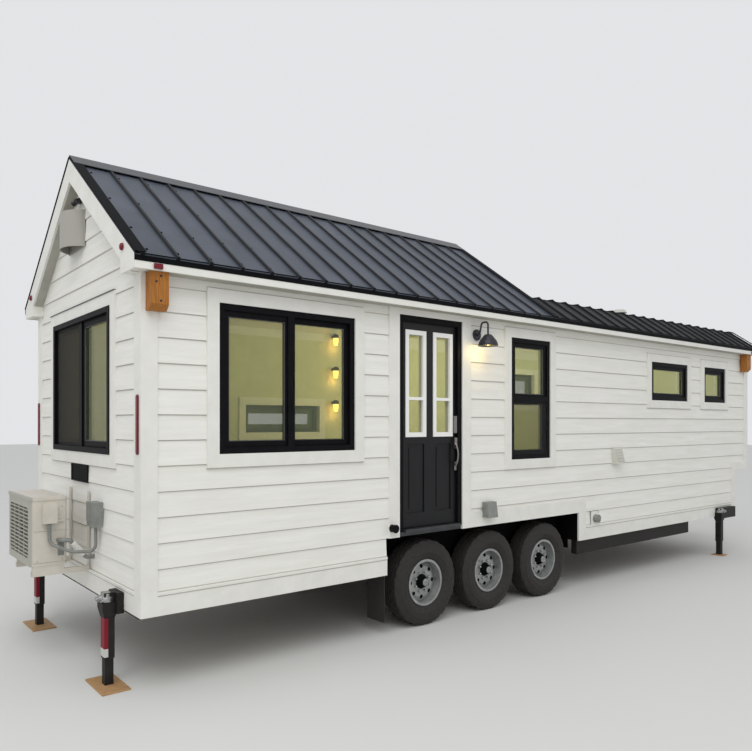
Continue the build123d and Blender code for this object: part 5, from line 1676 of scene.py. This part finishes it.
# %% Slat the vents
slat_count = 5
slat_first, slat_spacing = 30 * mm, 34 * mm
slat_height = 7 * mm
slat_end = 15 * mm
slat_proud, slat_sink = 7 * mm, 10 * mm
cover_taper = 50 * mm
flange = 16 * mm
flange_drop = 4 * mm
gable_hood, side_cover = loose_boxes("vents")[:2]
slats = Stock()
low, high = side_cover
for number in range(slat_count):
    z = low.z + slat_first + number * slat_spacing
    face_y = low.y + cover_taper * (z - low.z) / (high.z - low.z)
    far_corner = (high.x - slat_end, face_y + slat_sink, z + slat_height)
    slats.block((low.x + slat_end, face_y - slat_proud, z), far_corner)
low, high = gable_hood
far_corner = (rear_x - 11 * mm, high.y + flange, high.z)
slats.block((rear_x - 17 * mm, low.y - flange, low.z - flange_drop), far_corner)
slats.make("vent_slats", vent_plastic, slot="vent_white", bevel=2 * mm)

# %% [markdown]
# ## Lamp by the door
# A warm bulb hangs in the gooseneck's shade and washes the wall below it. The glass could light the wall
# by its glow alone, but a small lamp under it gives less noise. The shade is a thin bell, turned as a
# closed profile.

# %% Light the lamp by the door
bulb_inset, bulb_rise = 90 * mm, 34 * mm
bulb_light_drop = Vector((0, 0, 80 * mm))
bulb_profile = [(0.045, 0.014), (0.025, 0.020), (0.0, 0.030), (-0.018, 0.024), (-0.028, 0.008)]
bell_profile = [(0.006, 0.087), (0.0, 0.0905), (0.0, 0.097), (0.012, 0.096), (0.035, 0.090), (0.060, 0.076)]
bell_profile += [(0.085, 0.056), (0.104, 0.040), (0.113, 0.028)]
bell_profile += [(0.114, 0.012), (0.108, 0.012), (0.052, 0.034)]
lamp_low, lamp_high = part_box("wall_lamp")
bulb_place = Vector(((lamp_low.x + lamp_high.x) / 2, lamp_low.y + bulb_inset, lamp_low.z + bulb_rise))
bulb, bell = Stock(), Stock()
bulb.lathe(bulb_profile, bulb_place, (0, 0, 1), steps=20)
bulb.make("lamp_bulb", lamp_glow, slot="lamp")
bell.lathe(bell_profile, (bulb_place.x, bulb_place.y, lamp_low.z), (0, 0, 1), steps=40, closed=True)
bell.make("bell_shade", dark_bronze, slot="lamp")
point_lamp("door_lamp_light", bulb_place - bulb_light_drop, 1.15, "#ffe08c", 40 * mm)

# %% [markdown]
# ## Inside the rooms
# Three small wall lights are lit on the back wall and show through the big window. Each has a dark cap and
# a glowing glass, both turned, and a small lamp of its own, as the light by the door has.

# %% Light the wall sconces
inner_back_y = back_y - wall_thickness
sconce_x = rear_x + 3.6
sconce_heights = (2.17, 2.60, 3.02)
sconce_reach = 70 * mm
arm_half, arm_foot, arm_head = 20 * mm, 8 * mm, 22 * mm
sconce_light_offset = Vector((0, 0.02, 0.15))
sconce_cap = [(-0.012, 0.040), (0.020, 0.040), (0.034, 0.030), (0.040, 0.012)]
sconce_glass = [(-0.110, 0.010), (-0.108, 0.024), (-0.060, 0.034), (-0.012, 0.036)]
sconces, glows = Stock(), Stock()
for height in sconce_heights:
    spot = Vector((sconce_x, inner_back_y - sconce_reach, height))
    sconces.lathe(sconce_cap, spot, (0, 0, 1), steps=20)
    arm_corner = (spot.x + arm_half, inner_back_y, spot.z + arm_head)
    sconces.block((spot.x - arm_half, spot.y, spot.z - arm_foot), arm_corner)
    glows.lathe(sconce_glass, spot, (0, 0, 1), steps=20)
    point_lamp("sconce_light", spot - sconce_light_offset, 0.5, "#ffc860", 30 * mm)
sconces.make("wall_sconces", frame_vinyl, slot="lamp")
glows.make("sconce_glow", lamp_glow, slot="lamp")

# %% [markdown]
# Inside, every window has a white casing on the lining. It is seen only through the glass, so four plain
# bars do.

# %% Case the windows inside
lining_width = 90 * mm
lining_thickness = 18 * mm
lining = Stock()
for low, high in frame_boxes:
    facing = 0 if in_gable((low, high)) else 1
    start = [value - lining_width for value in low]
    end = [value + lining_width for value in high]
    if facing == 0:
        start[0] = rear_x + wall_thickness
    else:
        start[1] = inner_back_y - lining_thickness if low.y > mid_y else door_y + wall_thickness
    end[facing] = start[facing] + lining_thickness
    bars_round(lining, start, end, 1 - facing, [lining_width] * 4)
lining.make("inside_casings", trim_paint, slot="white_trim", bevel=2 * mm)

# %% [markdown]
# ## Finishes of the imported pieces
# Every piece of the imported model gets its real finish. The walls themselves show only inside, where they
# are lined with pale boards. One table of finishes is easier to read and to change than a line for each
# piece.

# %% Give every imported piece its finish
wheels = [f"{row}_{side_name}" for row in rows for side_name in sides]
finishes = {
    lining_paint: ["door_wall_near", "door_header", "door_wall_far", "back_wall", "gable_wall", "front_wall",
                   "lower_front_wall", "roof_step_wall"],
    trim_paint: ["corner_boards", "skirt_boards", "window_casings", "fascia_boards", "rake_boards",
                 "low_roof", "steep_roof_door_side", "steep_roof_back_side", "bump_out_floor"],
    floor_timber: ["floor_deck"],
    roof_steel_painted_sky: ["steep_metal"],
    low_roof_steel_painted_reflection: ["low_metal"],
    cap_steel: ["ridge_cap"],
    frame_vinyl: ["window_frames", "door_frame"],
    pane_glass: ["window_panes", "door_panes"],
    door_paint: ["door_leaf"],
    light_frame_paint: ["door_light_frames"],
    nickel: ["door_handles"],
    threshold_alloy: ["door_threshold"],
    chassis_paint: ["main_rails", "crossmembers", "tongue_bars", "hitch_coupler", "axles", "leaf_springs",
                    "jack_tubes"] + [f"jack_leg_{name}" for name in jack_names],
    rubber: ["mud_flaps"] + [f"tyre_{wheel}" for wheel in wheels],
    rim_enamel: [f"rim_{wheel}" for wheel in wheels],
    bracket_timber: ["eave_brackets"],
    case_enamel: ["condenser", "condenser_bracket"],
    dark_bronze: ["wall_lamp"],
    vent_plastic: ["vents"],
    grey_plastic: ["service_boxes", "line_set"],
}
for material, names in finishes.items():
    for name in names:
        nodes[name].data.materials.clear()
        nodes[name].data.materials.append(material)
left_over = sorted(set(nodes) - {name for names in finishes.values() for name in names})
print("finished pieces:", sum(len(names) for names in finishes.values()), "left over:", left_over)

# %% [markdown]
# No real edge is perfectly sharp. A bevel modifier rounds boards and metal by a millimetre or two, so
# that they catch the light as worked edges do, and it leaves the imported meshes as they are.

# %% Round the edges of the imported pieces
packed_edge_limit = 50
edge_widths = {
    1.5 * mm: ["corner_boards", "skirt_boards", "window_casings", "fascia_boards", "rake_boards",
               "door_light_frames"],
    2.0 * mm: ["window_frames", "door_frame", "door_leaf", "door_threshold", "door_handles", "eave_brackets"],
    2.5 * mm: ["main_rails", "jack_tubes", "condenser_bracket", "service_boxes", "mud_flaps"],
}
for width, names in edge_widths.items():
    for name in names:
        round_edges(nodes[name], width, packed_edge_limit)
print("pieces with rounded edges:", sum(len(names) for names in edge_widths.values()))

# %% [markdown]
# ## Size and end
# The sizes of the imported model and of the dressed one go side by side in one table.

# %% Put the sizes of the two models side by side
size = {"cad": [list(corner) for corner in cad_bounds], "visual": [list(corner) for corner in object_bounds()]}
